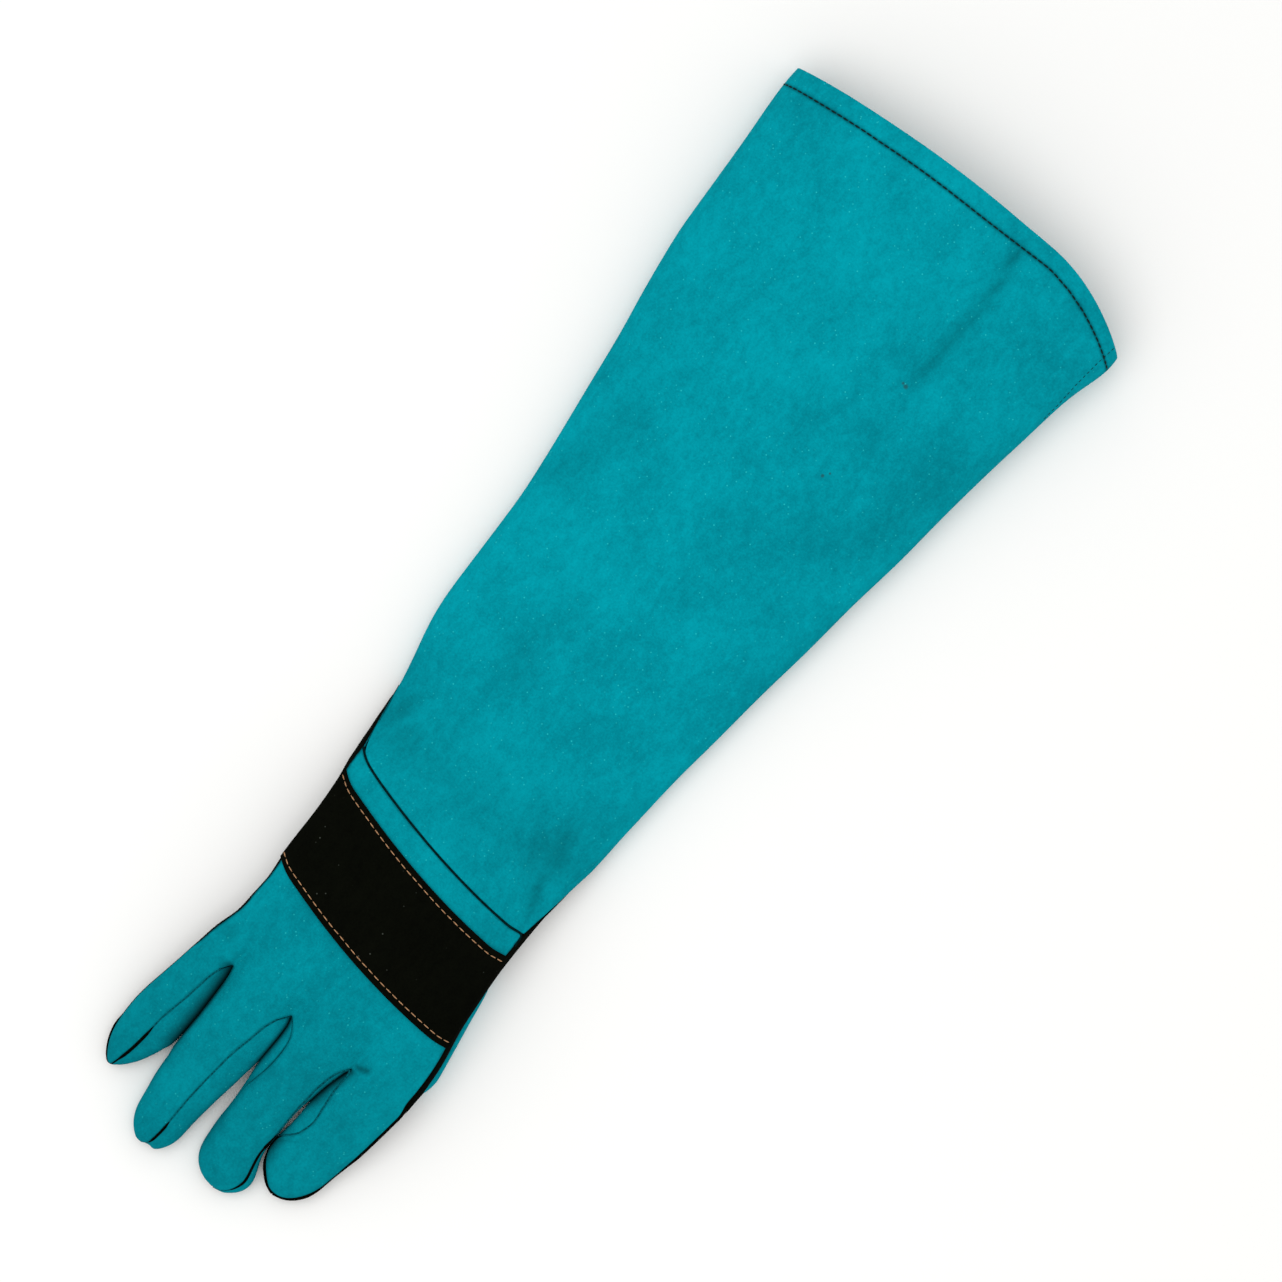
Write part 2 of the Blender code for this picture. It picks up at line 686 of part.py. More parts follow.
def leather_piece(name, skin, piece, material):
    """One leather piece: its part of the skin with a wall inwards."""
    layer = skin.faces.layers.int["piece"]
    thickness = skin.verts.layers.float["wall"]
    faces = [face for face in skin.faces if face[layer] == piece]
    piece_faces = set(faces)
    wall = bmesh.new()
    outer = {}
    inner = {}
    for vert in {vert for face in faces for vert in face.verts}:
        place = vert.co + seam_step(vert, piece_faces)
        outer[vert] = wall.verts.new(place)
        inner[vert] = wall.verts.new(place - vert.normal * vert[thickness])
    for face in faces:
        wall.faces.new([outer[vert] for vert in face.verts])
        wall.faces.new([inner[vert] for vert in reversed(face.verts)])
        for loop in face.loops:
            if sum(neighbour in piece_faces for neighbour in loop.edge.link_faces) == 1:
                close_seam(wall, outer, inner, loop.vert, loop.link_loop_next.vert)
    return mesh_object(name, wall, material)


def close_seam(wall, outer, inner, near, far):
    """Edge of the leather along one seam edge, split the same way on both sides of the seam."""
    if near.index < far.index:
        wall.faces.new((outer[far], outer[near], inner[far]))
        wall.faces.new((outer[near], inner[near], inner[far]))
    else:
        wall.faces.new((outer[far], outer[near], inner[near]))
        wall.faces.new((outer[far], inner[near], inner[far]))


def mesh_object(name, mesh, material):
    """Object with smooth shading from a bmesh, in the glove's collection."""
    data = bpy.data.meshes.new(name)
    mesh.verts.index_update()
    mesh.to_mesh(data)
    mesh.free()
    data.shade_smooth()
    data.set_sharp_from_angle(angle=SHARP_ANGLE)
    part = bpy.data.objects.new(name, data)
    if material:
        data.materials.append(material)
    return part


def leather(name, colour):
    """Suede of one colour."""
    material = bpy.data.materials.new(name)
    material.use_nodes = True
    shader = material.node_tree.nodes["Principled BSDF"]
    shader.inputs["Base Color"].default_value = (*colour, 1.0)
    shader.inputs["Roughness"].default_value = ROUGHNESS
    shader.inputs["Metallic"].default_value = 0.0
    return material


def band_edge(side, distance):
    """Y of a line across the band, at a distance from the wrist seam."""
    return wrist_line(side) + distance


def wrist_band():
    """Black band laid over the back of the hand between its side seams."""
    patch = bmesh.new()
    columns = BODY_COLUMNS[:BACK_POINTS]
    rows = []
    for row in range(BAND_ROWS + 1):
        distance = STRIP_WIDTH + BAND_WIDTH * row / BAND_ROWS
        points = [column_point(column, band_edge(column_side(column), distance)) for column in columns]
        rows.append([patch.verts.new(point) for point in points])
    for first, second in zip(rows, rows[1:]):
        for number in range(len(columns) - 1):
            after = number + 1
            patch.faces.new((first[number], first[after], second[after], second[number]))
    patch.normal_update()
    lifted = {vert: vert.co + vert.normal * REST_GAP for vert in patch.verts}
    for vert, place in lifted.items():
        vert.co = place
    part = mesh_object("wrist_band", patch, leather("wrist_band_leather", BLACK))
    wall = part.modifiers.new("leather", "SOLIDIFY")
    wall.thickness = BAND_LEATHER
    wall.offset = 1
    return part


def thumb_x(along):
    """X of a place along the thumb, from its fold at the index side."""
    return THUMB_LENGTH * along - INDEX_HALF - THUMB_OVERHANG


def thumb_ring(section):
    """Points of one ring round the thumb, which lies flat on the ground."""
    middle = section.middle * WRIST_TO_FINGERS
    half = section.base * WRIST_TO_FINGERS + section.sock * THUMB_WIDTH / 2
    ring = []
    for number in range(THUMB_COLUMNS):
        turn = 2 * math.pi * (number + 0.5) / THUMB_COLUMNS
        side = math.cos(turn)
        level = math.copysign(flat_arch(side, THUMB_FLAT_SHARE), math.sin(turn))
        height = THUMB_HEIGHT / 2 * (1 + level * section.puff)
        ring.append(Vector((thumb_x(section.along), middle + half * side, height)))
    return ring


def thumb(hole):
    """Thumb folded under the palm, open upwards where it is sewn into the palm."""
    sock = bmesh.new()
    sock.faces.layers.int.new("piece")
    ends = [THUMB_SECTIONS[0], THUMB_SECTIONS[-1]]
    rings = [[sock.verts.new(point) for point in thumb_ring(row)] for row in THUMB_SECTIONS[1:-1]]
    for first, second in zip(rings, rings[1:]):
        join_rings(sock, first, second, [0] * THUMB_COLUMNS)
    for section, ring in zip(ends, (rings[0], rings[-1])):
        place = (thumb_x(section.along), section.middle * WRIST_TO_FINGERS, THUMB_HEIGHT / 2)
        tip = sock.verts.new(place)
        for number, vert in enumerate(ring):
            sock.faces.new((vert, ring[(number + 1) % THUMB_COLUMNS], tip))
    bmesh.ops.recalc_face_normals(sock, faces=sock.faces[:])
    part = mesh_object("thumb", sock, leather("thumb_leather", TEAL))
    wall = part.modifiers.new("leather", "SOLIDIFY")
    wall.thickness = LEATHER
    wall.offset = -1
    cut(part, hole)
    return part


def thumb_hole():
    """Oval cutter through the thumb's upper wall and the palm's lower wall."""
    depth = 2 * LEATHER + REST_GAP + THUMB_HEIGHT / 2
    oval = bmesh.new()
    bmesh.ops.create_cone(
        oval, cap_ends=True, segments=HOLE_SIDES, radius1=0.5, radius2=0.5, depth=depth
    )
    bmesh.ops.scale(oval, vec=(THUMB_HOLE_WIDTH, THUMB_HOLE_LENGTH, 1.0), verts=oval.verts[:])
    cutter = mesh_object("thumb_hole", oval, None)
    middle = THUMB_HOLE_MIDDLE_SHARE * WRIST_TO_FINGERS
    cutter.location = (thumb_x(THUMB_HOLE_ALONG_SHARE), middle, SEAT_HEIGHT)
    cutter.hide_render = True
    cutter.display_type = "WIRE"
    return cutter


def cut(part, cutter):
    """Boolean difference that stays on the part."""
    hole = part.modifiers.new("hole", "BOOLEAN")
    hole.operation = "DIFFERENCE"
    hole.object = cutter


def skin_parts(hole):
    """Gauntlet, palm, back of the hand and the strips between the fingers."""
    skin = glove_skin()
    palm = leather_piece("palm", skin, PALM, leather("palm_leather", BLACK))
    cut(palm, hole)
    parts = [
        leather_piece("gauntlet", skin, GAUNTLET, leather("gauntlet_leather", TEAL)),
        palm,
        leather_piece("hand_back", skin, HAND_BACK, leather("hand_back_leather", TEAL)),
    ]
    for number, neighbours in enumerate(("index_middle", "middle_ring", "ring_little")):
        name = "fourchette_" + neighbours
        material = leather(name + "_leather", TEAL)
        parts.append(leather_piece(name, skin, FIRST_FOURCHETTE + number, material))
    skin.free()
    return parts


def place_on_origin(objects, parts):
    """Parent everything to an empty that puts the glove's middle over the origin."""
    bpy.context.view_layer.update()
    graph = bpy.context.evaluated_depsgraph_get()
    corners = [Vector(corner) for part in parts for corner in part.evaluated_get(graph).bound_box]
    low = [min(corner[axis] for corner in corners) for axis in range(3)]
    high = [max(corner[axis] for corner in corners) for axis in range(3)]
    holder = bpy.data.objects.new("glove_place", None)
    holder.location = (-(low[0] + high[0]) / 2, -(low[1] + high[1]) / 2, -low[2])
    bpy.context.scene.collection.objects.link(holder)
    for item in objects:
        item.parent = holder


def build():
    """Model the glove and put its pieces and the cutter in their collections."""
    for item in list(bpy.data.objects):
        bpy.data.objects.remove(item, do_unlink=True)
    glove = bpy.data.collections.new("animal_handling_glove")
    cutters = bpy.data.collections.new("cutters")
    bpy.context.scene.collection.children.link(glove)
    bpy.context.scene.collection.children.link(cutters)
    hole = thumb_hole()
    cutters.objects.link(hole)
    parts = skin_parts(hole) + [wrist_band(), thumb(hole)]
    for part in parts:
        glove.objects.link(part)
    place_on_origin(parts + [hole], parts)


build()
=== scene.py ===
"""Looks of a long leather animal handling glove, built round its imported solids.

Lengths are in metres unless a table says millimetres. The glove lies palm down on the ground,
with +Y towards its fingertips, +X towards the little finger and +Z up.
"""

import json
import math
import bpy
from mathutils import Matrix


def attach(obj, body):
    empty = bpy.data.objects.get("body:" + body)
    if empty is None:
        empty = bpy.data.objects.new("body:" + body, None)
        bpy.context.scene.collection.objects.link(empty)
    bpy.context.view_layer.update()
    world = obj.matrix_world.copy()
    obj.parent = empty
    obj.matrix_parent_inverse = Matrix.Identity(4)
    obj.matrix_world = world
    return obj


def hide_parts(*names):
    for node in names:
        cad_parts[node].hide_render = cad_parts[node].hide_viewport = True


bl_info = {
    "name": "Animal Handling Glove",
    "version": (1, 0, 0),
    "blender": (4, 5, 0),
    "location": "3D View > Sidebar > Glove",
    "description": "Dresses the solids of a long leather glove in stitched suede",
    "category": "Object",
}

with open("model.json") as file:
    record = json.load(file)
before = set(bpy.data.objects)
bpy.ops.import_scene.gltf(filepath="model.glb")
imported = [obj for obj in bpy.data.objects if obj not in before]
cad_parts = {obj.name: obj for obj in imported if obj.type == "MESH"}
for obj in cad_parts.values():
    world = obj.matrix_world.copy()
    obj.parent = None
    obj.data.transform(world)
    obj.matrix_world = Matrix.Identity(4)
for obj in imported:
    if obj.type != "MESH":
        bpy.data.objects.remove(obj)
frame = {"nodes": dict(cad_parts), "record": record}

import bmesh
import bpy
import numpy as np
from bpy.props import FloatProperty, FloatVectorProperty, PointerProperty
from mathutils import Matrix, Vector
from mathutils.bvhtree import BVHTree
from mathutils.kdtree import KDTree

BODY = "root"

# Pieces of leather: subdivisions, steps of the rounded cut edge, slot and material
PANELS = {
    "gauntlet": (2, 2, "gauntlet_leather", "teal_suede"),
    "hand_back": (3, 1, "hand_back_leather", "teal_suede"),
    "fourchette_index_middle": (2, 2, "fourchette_leather", "teal_suede"),
    "fourchette_middle_ring": (2, 2, "fourchette_leather", "teal_suede"),
    "fourchette_ring_little": (2, 2, "fourchette_leather", "teal_suede"),
    "palm": (2, 2, "palm_leather", "black_suede"),
    "thumb": (2, 2, "thumb_leather", "teal_suede"),
    "wrist_band": (3, 2, "wrist_band_leather", "black_suede"),
}

# Reading the solids and making their surface fine
MERGE_DISTANCE = 1e-6
FLAT_JOIN_ANGLE = math.radians(40)
SQUARE_JOIN_ANGLE = math.radians(80)
CUT_EDGE_ANGLE = math.radians(55)
SURFACE_PASSES = 3
LARGEST_CORRECTION = 0.0012
CORRECTION_SHARE = 0.4
LARGEST_BEVEL_MOVE = 0.0004
OUTER_SHARES = (0.4, 0.9)
PLAN_STATIONS = 60
EDGE_SAMPLES = 9
HEIGHT_STATIONS = 41

# Turned leather in the seams, dark with painted seam shade in the WRIST and FINE slots: thickness
# and depth as shares of the seam's thickness, and slot
WRIST, FINE, BLACK = range(3)
FINGER_CORD = (1.1, 0.45, FINE)
WRIST_CORD = (1.5, 0.35, WRIST)
LITTLE_SIDE_CORD = (0.8, 0.6, FINE)
INDEX_SIDE_CORD = (1.0, 0.7, BLACK)
NEIGHBOUR_REACH = 0.0016
SEAM_STEP = 0.0004
CORD_STEP = 0.0015
SMOOTHING_PASSES = 3

# Slow waves of the leather: size in metres, share of the full height and random seed
SLOW_WAVES = ((0.075, 1.0, 11), (0.028, 0.4, 12))
WAVE_COUNT = 8

# Shares of the glove's height where its back starts and where it is full
BACK_SHARES = (0.42, 0.75)

# Shares of a line's length where a fold or a gape starts and where it is full
FADE_SHARES = (-0.05, 0.3)

# Soft folds of the upper side: plan points, half width and depth in millimetres, and shade
FOLDS = (
    (((-34, -293.5), (-34.5, -286), (-35.3, -276.5), (-36, -262)), 1.8, 0.9, 0.5),
    (((-35, -290), (-36.4, -254.8), (-35.4, -236.7), (-34.8, -222), (-34, -200)), 3.6, 1.3, 0.32),
    (((-20, -290), (-24, -262), (-25, -235)), 7.0, -0.8, 0.0),
    (((-43, -290), (-47, -265), (-46, -240)), 8.0, -0.8, 0.0),
    (((-53, 102), (-48.5, 90), (-44, 78)), 2.8, 1.4, 0.5),
    (((-56, 88), (-50, 92), (-46, 96)), 3.0, -0.6, 0.0),
    (((-48, 82), (-43, 66), (-41, 50)), 6.0, 0.8, 0.3),
    (((-40, 90), (-35, 72), (-33, 58)), 4.0, 0.6, 0.18),
    (((-25, 98), (-22, 84), (-22, 70)), 5.0, 0.4, 0.08),
    (((61, 84), (57, 71), (52, 58)), 2.5, -0.7, 0.0),
    (((62, 73), (57.5, 63), (55, 50)), 3.5, 1.0, 0.34),
    (((50, 84), (46, 72), (44, 60)), 5.0, 0.5, 0.14),
    (((-31.5, 206.6), (-35, 205.4), (-41, 203.2)), 1.5, 0.9, 0.55),
    (((56, 188), (53, 194), (50, 198)), 3.5, 0.9, 0.22),
    (((-52, 60), (-60, 40), (-64, 15)), 7.0, 0.7, 0.14),
    (((70, -60), (62, -90), (60, -125)), 9.0, 0.9, 0.12),
    (((20, -40), (28, -5), (24, 30)), 10.0, 0.8, 0.08),
    (((-80, -205), (-72, -165), (-70, -120)), 10.0, 0.9, 0.12),
)

# Shade of the whole leather along the glove: place in millimetres and shade
TONES = (
    (-300, 0.0), (20, 0.0), (45, 0.07), (72, 0.18), (90, 0.1),
    (165, 0.1), (190, 0.15), (235, 0.22), (300, 0.26),
)
FARTHEST_SEAM = 20.0

# Roots of the outer fingers pressed level with the knuckles: side, distances from the glove's
# middle where that starts and is full, and depth in millimetres, and the places along the
# glove in metres where it starts and ends
FINGER_ROOTS = ((-1, 41, 58, 2.7), (1, 44, 60, 4.6))
ROOTS_START = (0.204, 0.2115)
ROOTS_END = (0.211, 0.242)

# Dents where a seam pulls a fingertip in: plan point, radius and depth in millimetres
TIP_DENTS = (
    ((20.3, 300.2), 3.2, 1.7),
    ((54.6, 280.8), 2.6, 1.4),
    ((-27.4, 294.6), 3.0, 1.5),
    ((-60.2, 246.0), 4.0, 0.5),
)

# Gaps between the fingers: plan points on the middle line and half width there in millimetres,
# how far the fingers lean together there, and how far the shade reaches to both sides
FINGER_GAPS = (
    (
        (
            (-32.2, 208, 0.0, 1), (-30.5, 213.7, 0.58, 1), (-28.4, 221.7, 0.64, 1),
            (-26.7, 231.6, 0.77, 1), (-25.8, 238, 0.85, 0.2), (-25.7, 246, 0.85, 0),
            (-25.4, 251, 0.7, 0.3), (-24.7, 257, 0.58, 1), (-25.6, 264, 0.58, 0.7),
            (-28.3, 272, 0.64, 0),
        ),
        5.0,
        1.2,
    ),
    (
        (
            (5.5, 206.5, 0.0, 1), (4.2, 211.8, 0.58, 1), (3.9, 219.7, 0.64, 1),
            (4.1, 231.7, 0.7, 1), (4.1, 236, 0.85, 0.5), (4.2, 242, 1.0, 0),
        ),
        2.2,
        2.0,
    ),
    (
        (
            (42.0, 205.3, 0.0, 1), (40.9, 211.8, 0.58, 1), (40.3, 221.7, 0.58, 1),
            (40.0, 234.7, 0.58, 1), (40.2, 244.7, 0.58, 1), (40.6, 252, 0.7, 0.8),
            (41.5, 258, 1.6, 0),
        ),
        1.6,
        7.0,
    ),
)
LEAN_REACH = 6.0
LEAST_GAP = -0.1
GAP_DARKNESS = 0.95
GAP_SHADE_START = 1.1
GAP_SHADE_POWER = 1.5

# Places where a finger seam gapes and shows black, partly black leather and partly painted shade
# in the slit: plan points in millimetres, and how far
GAPING_SEAMS = (
    (((-25, 294), (-27, 285), (-24.5, 277), (-23.5, 262), (-23.5, 255)), 1.0),
    (((19, 281), (19, 290), (20.5, 299)), 1.0),
    (((53.5, 250), (55, 265), (54.5, 272), (54, 279)), 1.2),
    (((-65, 178), (-66, 211), (-65, 228), (-58, 262)), 1.5),
    (((68.5, 255), (66.8, 268.7), (61.6, 277.5), (54, 279.5)), 1.5),
    (
        (
            (-61, 256), (-56.5, 268), (-52, 275.5), (-45.5, 278.5),
            (-38, 278), (-31, 274.5), (-26.5, 267), (-25.3, 252),
        ),
        2.0,
    ),
)

# The black leather in a gape, partly standing for painted shade in the slit: reach from its line
# in millimetres, least gape, and depth, least radius and radius that a full gape adds, as shares
# of the seam's thickness
GAPE_REACH = 3.0
LEAST_GAPE = 0.05
GAPE_DEPTH = 0.25
GAPE_RADIUS = (0.12, 0.65)

# The cuff's hem in metres: what its depth gains across the glove and where, its swelling, the
# groove of its stitches and the shade there
HEM_GAIN = 0.0017
HEM_GAIN_PLACES = (-0.055, -0.005)
HEM_ROWS_REACH = 0.009
HEM_SWELL = 0.00035
HEM_GROOVE_WIDTH = 0.0013
HEM_GROOVE_DEPTH = 0.0005
PUCKER_DEPTH = 0.00015
PUCKER_SIZE = 0.013
HEM_SHADE_WIDTH = 0.0009
HEM_DARKNESS = 0.62

# Groove of the wrist band's stitches, in metres
BAND_GROOVE_WIDTH = 0.0012
BAND_GROOVE_DEPTH = 0.0003

# Sewn line of the cuff's side seam: plan points in millimetres
CUFF_SIDE_SEAM = ((-97.6, -284.5), (-95.6, -271), (-94.4, -258), (-93.8, -246), (-92.8, -236))

# Small marks on the leather: plan place and radius in millimetres
TEAL_MARKS = ((-28.5, -149, 1.2), (-30.5, -152, 0.8), (-32.5, -206, 1.6), (-30.5, -206.5, 1.0))

# Colours of those marks, of the teal's pale specks and of the dust on the black leather, and
# how many cells of specks and of dust there are to a metre
MARK_COLOUR = (0.02, 0.035, 0.03)
SPECK_COLOUR = (0.03, 0.62, 0.62)
DUST_COLOUR = (0.075, 0.085, 0.07)
SPECK_SCALE = 320.0
DUST_SCALE = 200.0

# Shade on the leather beside a seam: reach in millimetres and darkness
SEAM_SHADE_WIDTH = 1.5
SEAM_DARKNESS = 0.4

# Materials of the turned leather in the seams, in the order of WRIST, FINE and BLACK; the colours
# of WRIST and FINE are painted seam shade
SEAM_MATERIALS = ("wrist_seam_shade", "fine_seam_shade", "black_seam")

# Places of a Mix node's colours among its sockets
MIX_INPUTS = (6, 7)
MIX_OUTPUT = 2

# Stage, in metres
FLOOR_REACH = 4.0
FLOOR_DROP = 0.0003
LAMP_SIZE = 2.2
LAMP_PLACE = (0.3, 0.3, 2.0)
SENSOR_WIDTH = 36.0
CLIP_END = 50.0


def colour(name, description, default):
    """Property that holds a colour."""
    return FloatVectorProperty(
        name=name,
        description=description,
        subtype="COLOR",
        size=3,
        min=0.0,
        max=1.0,
        default=default,
    )


def length(name, description, low, high, default):
    """Property that holds a length."""
    return FloatProperty(
        name=name,
        description=description,
        subtype="DISTANCE",
        unit="LENGTH",
        min=low,
        max=high,
        default=default,
    )


class GloveLeather(bpy.types.PropertyGroup):
    """Colours and surface of the leather"""

    teal_light: colour("Light Teal", "Teal suede where its nap lies away", (0.0006, 0.334, 0.406))
    teal_dark: colour("Dark Teal", "Teal suede where its nap stands up", (0.0004, 0.192, 0.241))
    black: colour("Black", "Black suede of the palm and the band", (0.0015, 0.0018, 0.0009))
    # Seam is a painted shade colour, used on the wrist seam's cord and for the teal's painted
    # darkening in seams, folds and between the fingers
    seam: colour("Seam", "Leather in the wrist seam and in shade", (0.001, 0.012, 0.013))
    # Finger Seam is painted seam shade on the cords of the finger seams and of the little finger's
    # side
    fine_seam_shade: colour("Finger Seam", "Leather in the fingers' seams", (0.001, 0.085, 0.105))
    edge_round: length(
        "Edge Rounding", "How far the cut edges are rounded", 0.0001, 0.0007, 0.0003
    )
    nap_size: length("Nap Size", "Size of the suede's tufts", 0.0002, 0.005, 0.0011)
    nap_depth: length("Nap Depth", "Height of the suede's tufts", 0.0, 0.001, 0.00022)
    buckle: length("Buckle", "Height of the leather's slow waves", 0.0, 0.003, 0.0005)


class GloveThread(bpy.types.PropertyGroup):
    """Sizes and colours of the sewing"""

    tan: colour("Band Thread", "Thread that holds the wrist band", (0.46, 0.25, 0.125))
    dark: colour("Hem Thread", "Thread of the hem and the side seam", (0.001, 0.014, 0.014))
    band_stitch: length(
        "Band Stitch", "Length of one stitch on the wrist band", 0.001, 0.01, 0.0033
    )
    hem_stitch: length("Hem Stitch", "Length of one stitch on the cuff", 0.001, 0.01, 0.0030)
    gap: length("Gap", "Distance between two stitches", 0.0002, 0.005, 0.0007)
    thickness: length("Thread", "Thickness of the thread", 0.0002, 0.002, 0.00054)
    band_inset: length(
        "Band Inset", "Distance of the stitches from the band's edges", 0.001, 0.01, 0.0033
    )
    hem_inset: length(
        "Hem Depth", "Distance of the hem's stitches from the cuff's edge", 0.003, 0.02, 0.0088
    )
    seam_thickness: length(
        "Seam", "Thickness of the turned leather in a seam", 0.0003, 0.003, 0.0010
    )


class GloveStage(bpy.types.PropertyGroup):
    """Camera, light and floor"""

    frame_width: length("Frame Width", "Width of the picture at the glove", 0.1, 3.0, 0.610)
    camera_height: length("Camera Height", "Height of the camera", 0.5, 6.0, 3.0)
    camera_x: length("Camera X", "Place of the camera across the glove", -1.0, 1.0, -0.0111)
    camera_y: length("Camera Y", "Place of the camera along the glove", -1.0, 1.0, -0.0348)
    camera_turn: FloatProperty(
        name="Camera Turn",
        description="Turn of the camera round its line of sight",
        subtype="ANGLE",
        unit="ROTATION",
        default=math.radians(219.04),
    )
    sky: FloatProperty(
        name="Sky",
        description="Strength of the even light from all round",
        min=0.0,
        max=3.0,
        default=0.82,
    )
    key: FloatProperty(
        name="Key Light",
        description="Power of the large soft light",
        subtype="POWER",
        unit="POWER",
        min=0.0,
        max=500.0,
        default=16.0,
    )
    floor: colour("Floor", "Colour of the floor", (0.93, 0.93, 0.915))


# Reading and refining the solids


def merged_copy(node):
    """Copy of a leather solid with its loose triangles joined into quads."""
    mesh = bmesh.new()
    mesh.from_mesh(frame["nodes"][node].data)
    bmesh.ops.remove_doubles(mesh, verts=mesh.verts[:], dist=MERGE_DISTANCE)
    bmesh.ops.join_triangles(
        mesh,
        faces=mesh.faces[:],
        angle_face_threshold=FLAT_JOIN_ANGLE,
        angle_shape_threshold=SQUARE_JOIN_ANGLE,
    )
    mesh.normal_update()
    return mesh


def cut_edges(mesh):
    """Edges along the leather's cut edge, on both of its faces."""
    return [edge for edge in mesh.edges if edge.calc_face_angle(0.0) > CUT_EDGE_ANGLE]


def hollow_boxes():
    """Boxes of the stated hollows, as pairs of corners."""
    openings = frame["record"]["physics"]["openings"]
    return [(Vector(opening["box_m"][0]), Vector(opening["box_m"][1])) for opening in openings]


def looks_inwards(face, boxes):
    """True if a face looks at the nearest hollow of the glove."""
    centre = face.calc_center_median()
    places = [
        Vector([min(max(centre[axis], low[axis]), high[axis]) for axis in range(3)])
        for low, high in boxes
    ]
    nearest = min(places, key=lambda place: (place - centre).length_squared)
    return (nearest - centre).dot(face.normal) > 0


def outer_faces(mesh, edges):
    """Faces on the outside of the leather, found between its cut edges."""
    stops = set(edges)
    boxes = hollow_boxes()
    left = set(mesh.faces)
    patches = []
    while left:
        todo = [left.pop()]
        patch = []
        while todo:
            face = todo.pop()
            patch.append(face)
            for edge in face.edges:
                if edge not in stops:
                    for other in edge.link_faces:
                        if other in left:
                            left.remove(other)
                            todo.append(other)
        patches.append(patch)
    patches.sort(key=lambda patch: -sum(face.calc_area() for face in patch))
    outside = []
    for patch in patches[:2]:
        inward = sum(face.calc_area() for face in patch if looks_inwards(face, boxes))
        if inward < 0.5 * sum(face.calc_area() for face in patch):
            outside += patch
    return outside


def positions(data):
    """Vertex places of a mesh as an array."""
    values = np.empty(len(data.vertices) * 3)
    data.vertices.foreach_get("co", values)
    return values.reshape(-1, 3)


def move_to(data, places):
    """Put a mesh's vertices at these places."""
    data.vertices.foreach_set("co", places.astype(np.float32).ravel())
    data.update()


def evaluated_copy(piece):
    """New mesh with a piece's modifiers applied."""
    graph = bpy.context.evaluated_depsgraph_get()
    return bpy.data.meshes.new_from_object(piece.evaluated_get(graph), depsgraph=graph)


def shortest_edges(data):
    """Length of the shortest edge at every vertex of a mesh."""
    places = positions(data)
    pairs = np.array([edge.vertices[:] for edge in data.edges])
    lengths = np.linalg.norm(places[pairs[:, 0]] - places[pairs[:, 1]], axis=1)
    shortest = np.full(len(places), np.inf)
    for column in (0, 1):
        np.minimum.at(shortest, pairs[:, column], lengths)
    return shortest[:, None]


def smooth_through(piece, levels):
    """Apply a subdivision surface that still passes through the mesh's own points."""
    wanted = positions(piece.data)
    control = wanted.copy()
    limit = np.minimum(LARGEST_CORRECTION, CORRECTION_SHARE * shortest_edges(piece.data))
    surface = piece.modifiers.new("surface", "SUBSURF")
    surface.levels = surface.render_levels = 1
    for _ in range(SURFACE_PASSES):
        fine = evaluated_copy(piece)
        control += wanted - positions(fine)[:len(wanted)]
        bpy.data.meshes.remove(fine)
        normals = vertex_normals(piece.data)
        change = normals * ((control - wanted) * normals).sum(axis=1, keepdims=True)
        length = np.linalg.norm(change, axis=1, keepdims=True)
        control = wanted + change * np.minimum(1.0, limit / np.maximum(length, 1e-9))
        move_to(piece.data, control)
        bpy.context.view_layer.update()
    surface.levels = surface.render_levels = levels
    fine = evaluated_copy(piece)
    piece.modifiers.clear()
    coarse = piece.data
    piece.data = fine
    bpy.data.meshes.remove(coarse)
    fine.name = piece.name


def mesh_data(name, mesh):
    """New mesh data from a finished bmesh."""
    data = bpy.data.meshes.new(name)
    mesh.to_mesh(data)
    mesh.free()
    return data


def link_piece(name, data):
    """New object of the glove's scene."""
    piece = bpy.data.objects.new(name, data)
    bpy.context.scene.collection.objects.link(piece)
    return piece


def hold_close(mesh, solid):
    """Pull points that a bevel threw off at a sharp corner back to the solid's surface."""
    for vert in mesh.verts:
        place, _, _, distance = solid.find_nearest(vert.co)
        if distance > LARGEST_BEVEL_MOVE:
            vert.co = place


def leather_piece(node):
    """Refined piece of leather that stands for a solid, with rounded cut edges."""
    levels, edge_steps, slot, material = PANELS[node]
    mesh = merged_copy(node)
    wall = mesh.faces.layers.int.new("wall")
    edges = cut_edges(mesh)
    for face in outer_faces(mesh, edges):
        face[wall] = 1
    solid = BVHTree.FromBMesh(mesh)
    bmesh.ops.bevel(
        mesh,
        geom=edges,
        offset=bpy.context.scene.glove_leather.edge_round,
        offset_type="OFFSET",
        segments=edge_steps,
        profile=0.5,
        affect="EDGES",
        clamp_overlap=False,
        material=-1,
    )
    hold_close(mesh, solid)
    outer = mesh.verts.layers.float.new("outer")
    for vert in mesh.verts:
        vert[outer] = float(any(face[wall] == 1 for face in vert.link_faces))
    name = node + "_suede"
    piece = link_piece(name, mesh_data(name, mesh))
    bpy.context.view_layer.update()
    smooth_through(piece, levels)
    piece.data.shade_smooth()
    piece.data.materials.clear()
    piece.data.materials.append(material_named(material))
    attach(piece, BODY)
    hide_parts(node)
    return piece


# Shaping the leather


def outer_share(piece):
    """How much each vertex belongs to the outside of the leather, from 0 to 1."""
    values = np.empty(len(piece.data.vertices), np.float32)
    piece.data.attributes["outer"].data.foreach_get("value", values)
    return values


def slow_waves(places, size, seed):
    """Smooth uneven values of about -1 to 1, with bumps about one size apart."""
    turn = np.random.default_rng(seed)
    total = np.zeros(len(places))
    for _ in range(WAVE_COUNT):
        direction = turn.normal(size=3)
        direction *= turn.uniform(0.6, 1.4) * 2 * math.pi / size / np.linalg.norm(direction)
        total += np.sin(places @ direction + turn.uniform(0, 2 * math.pi))
    return total / math.sqrt(WAVE_COUNT)


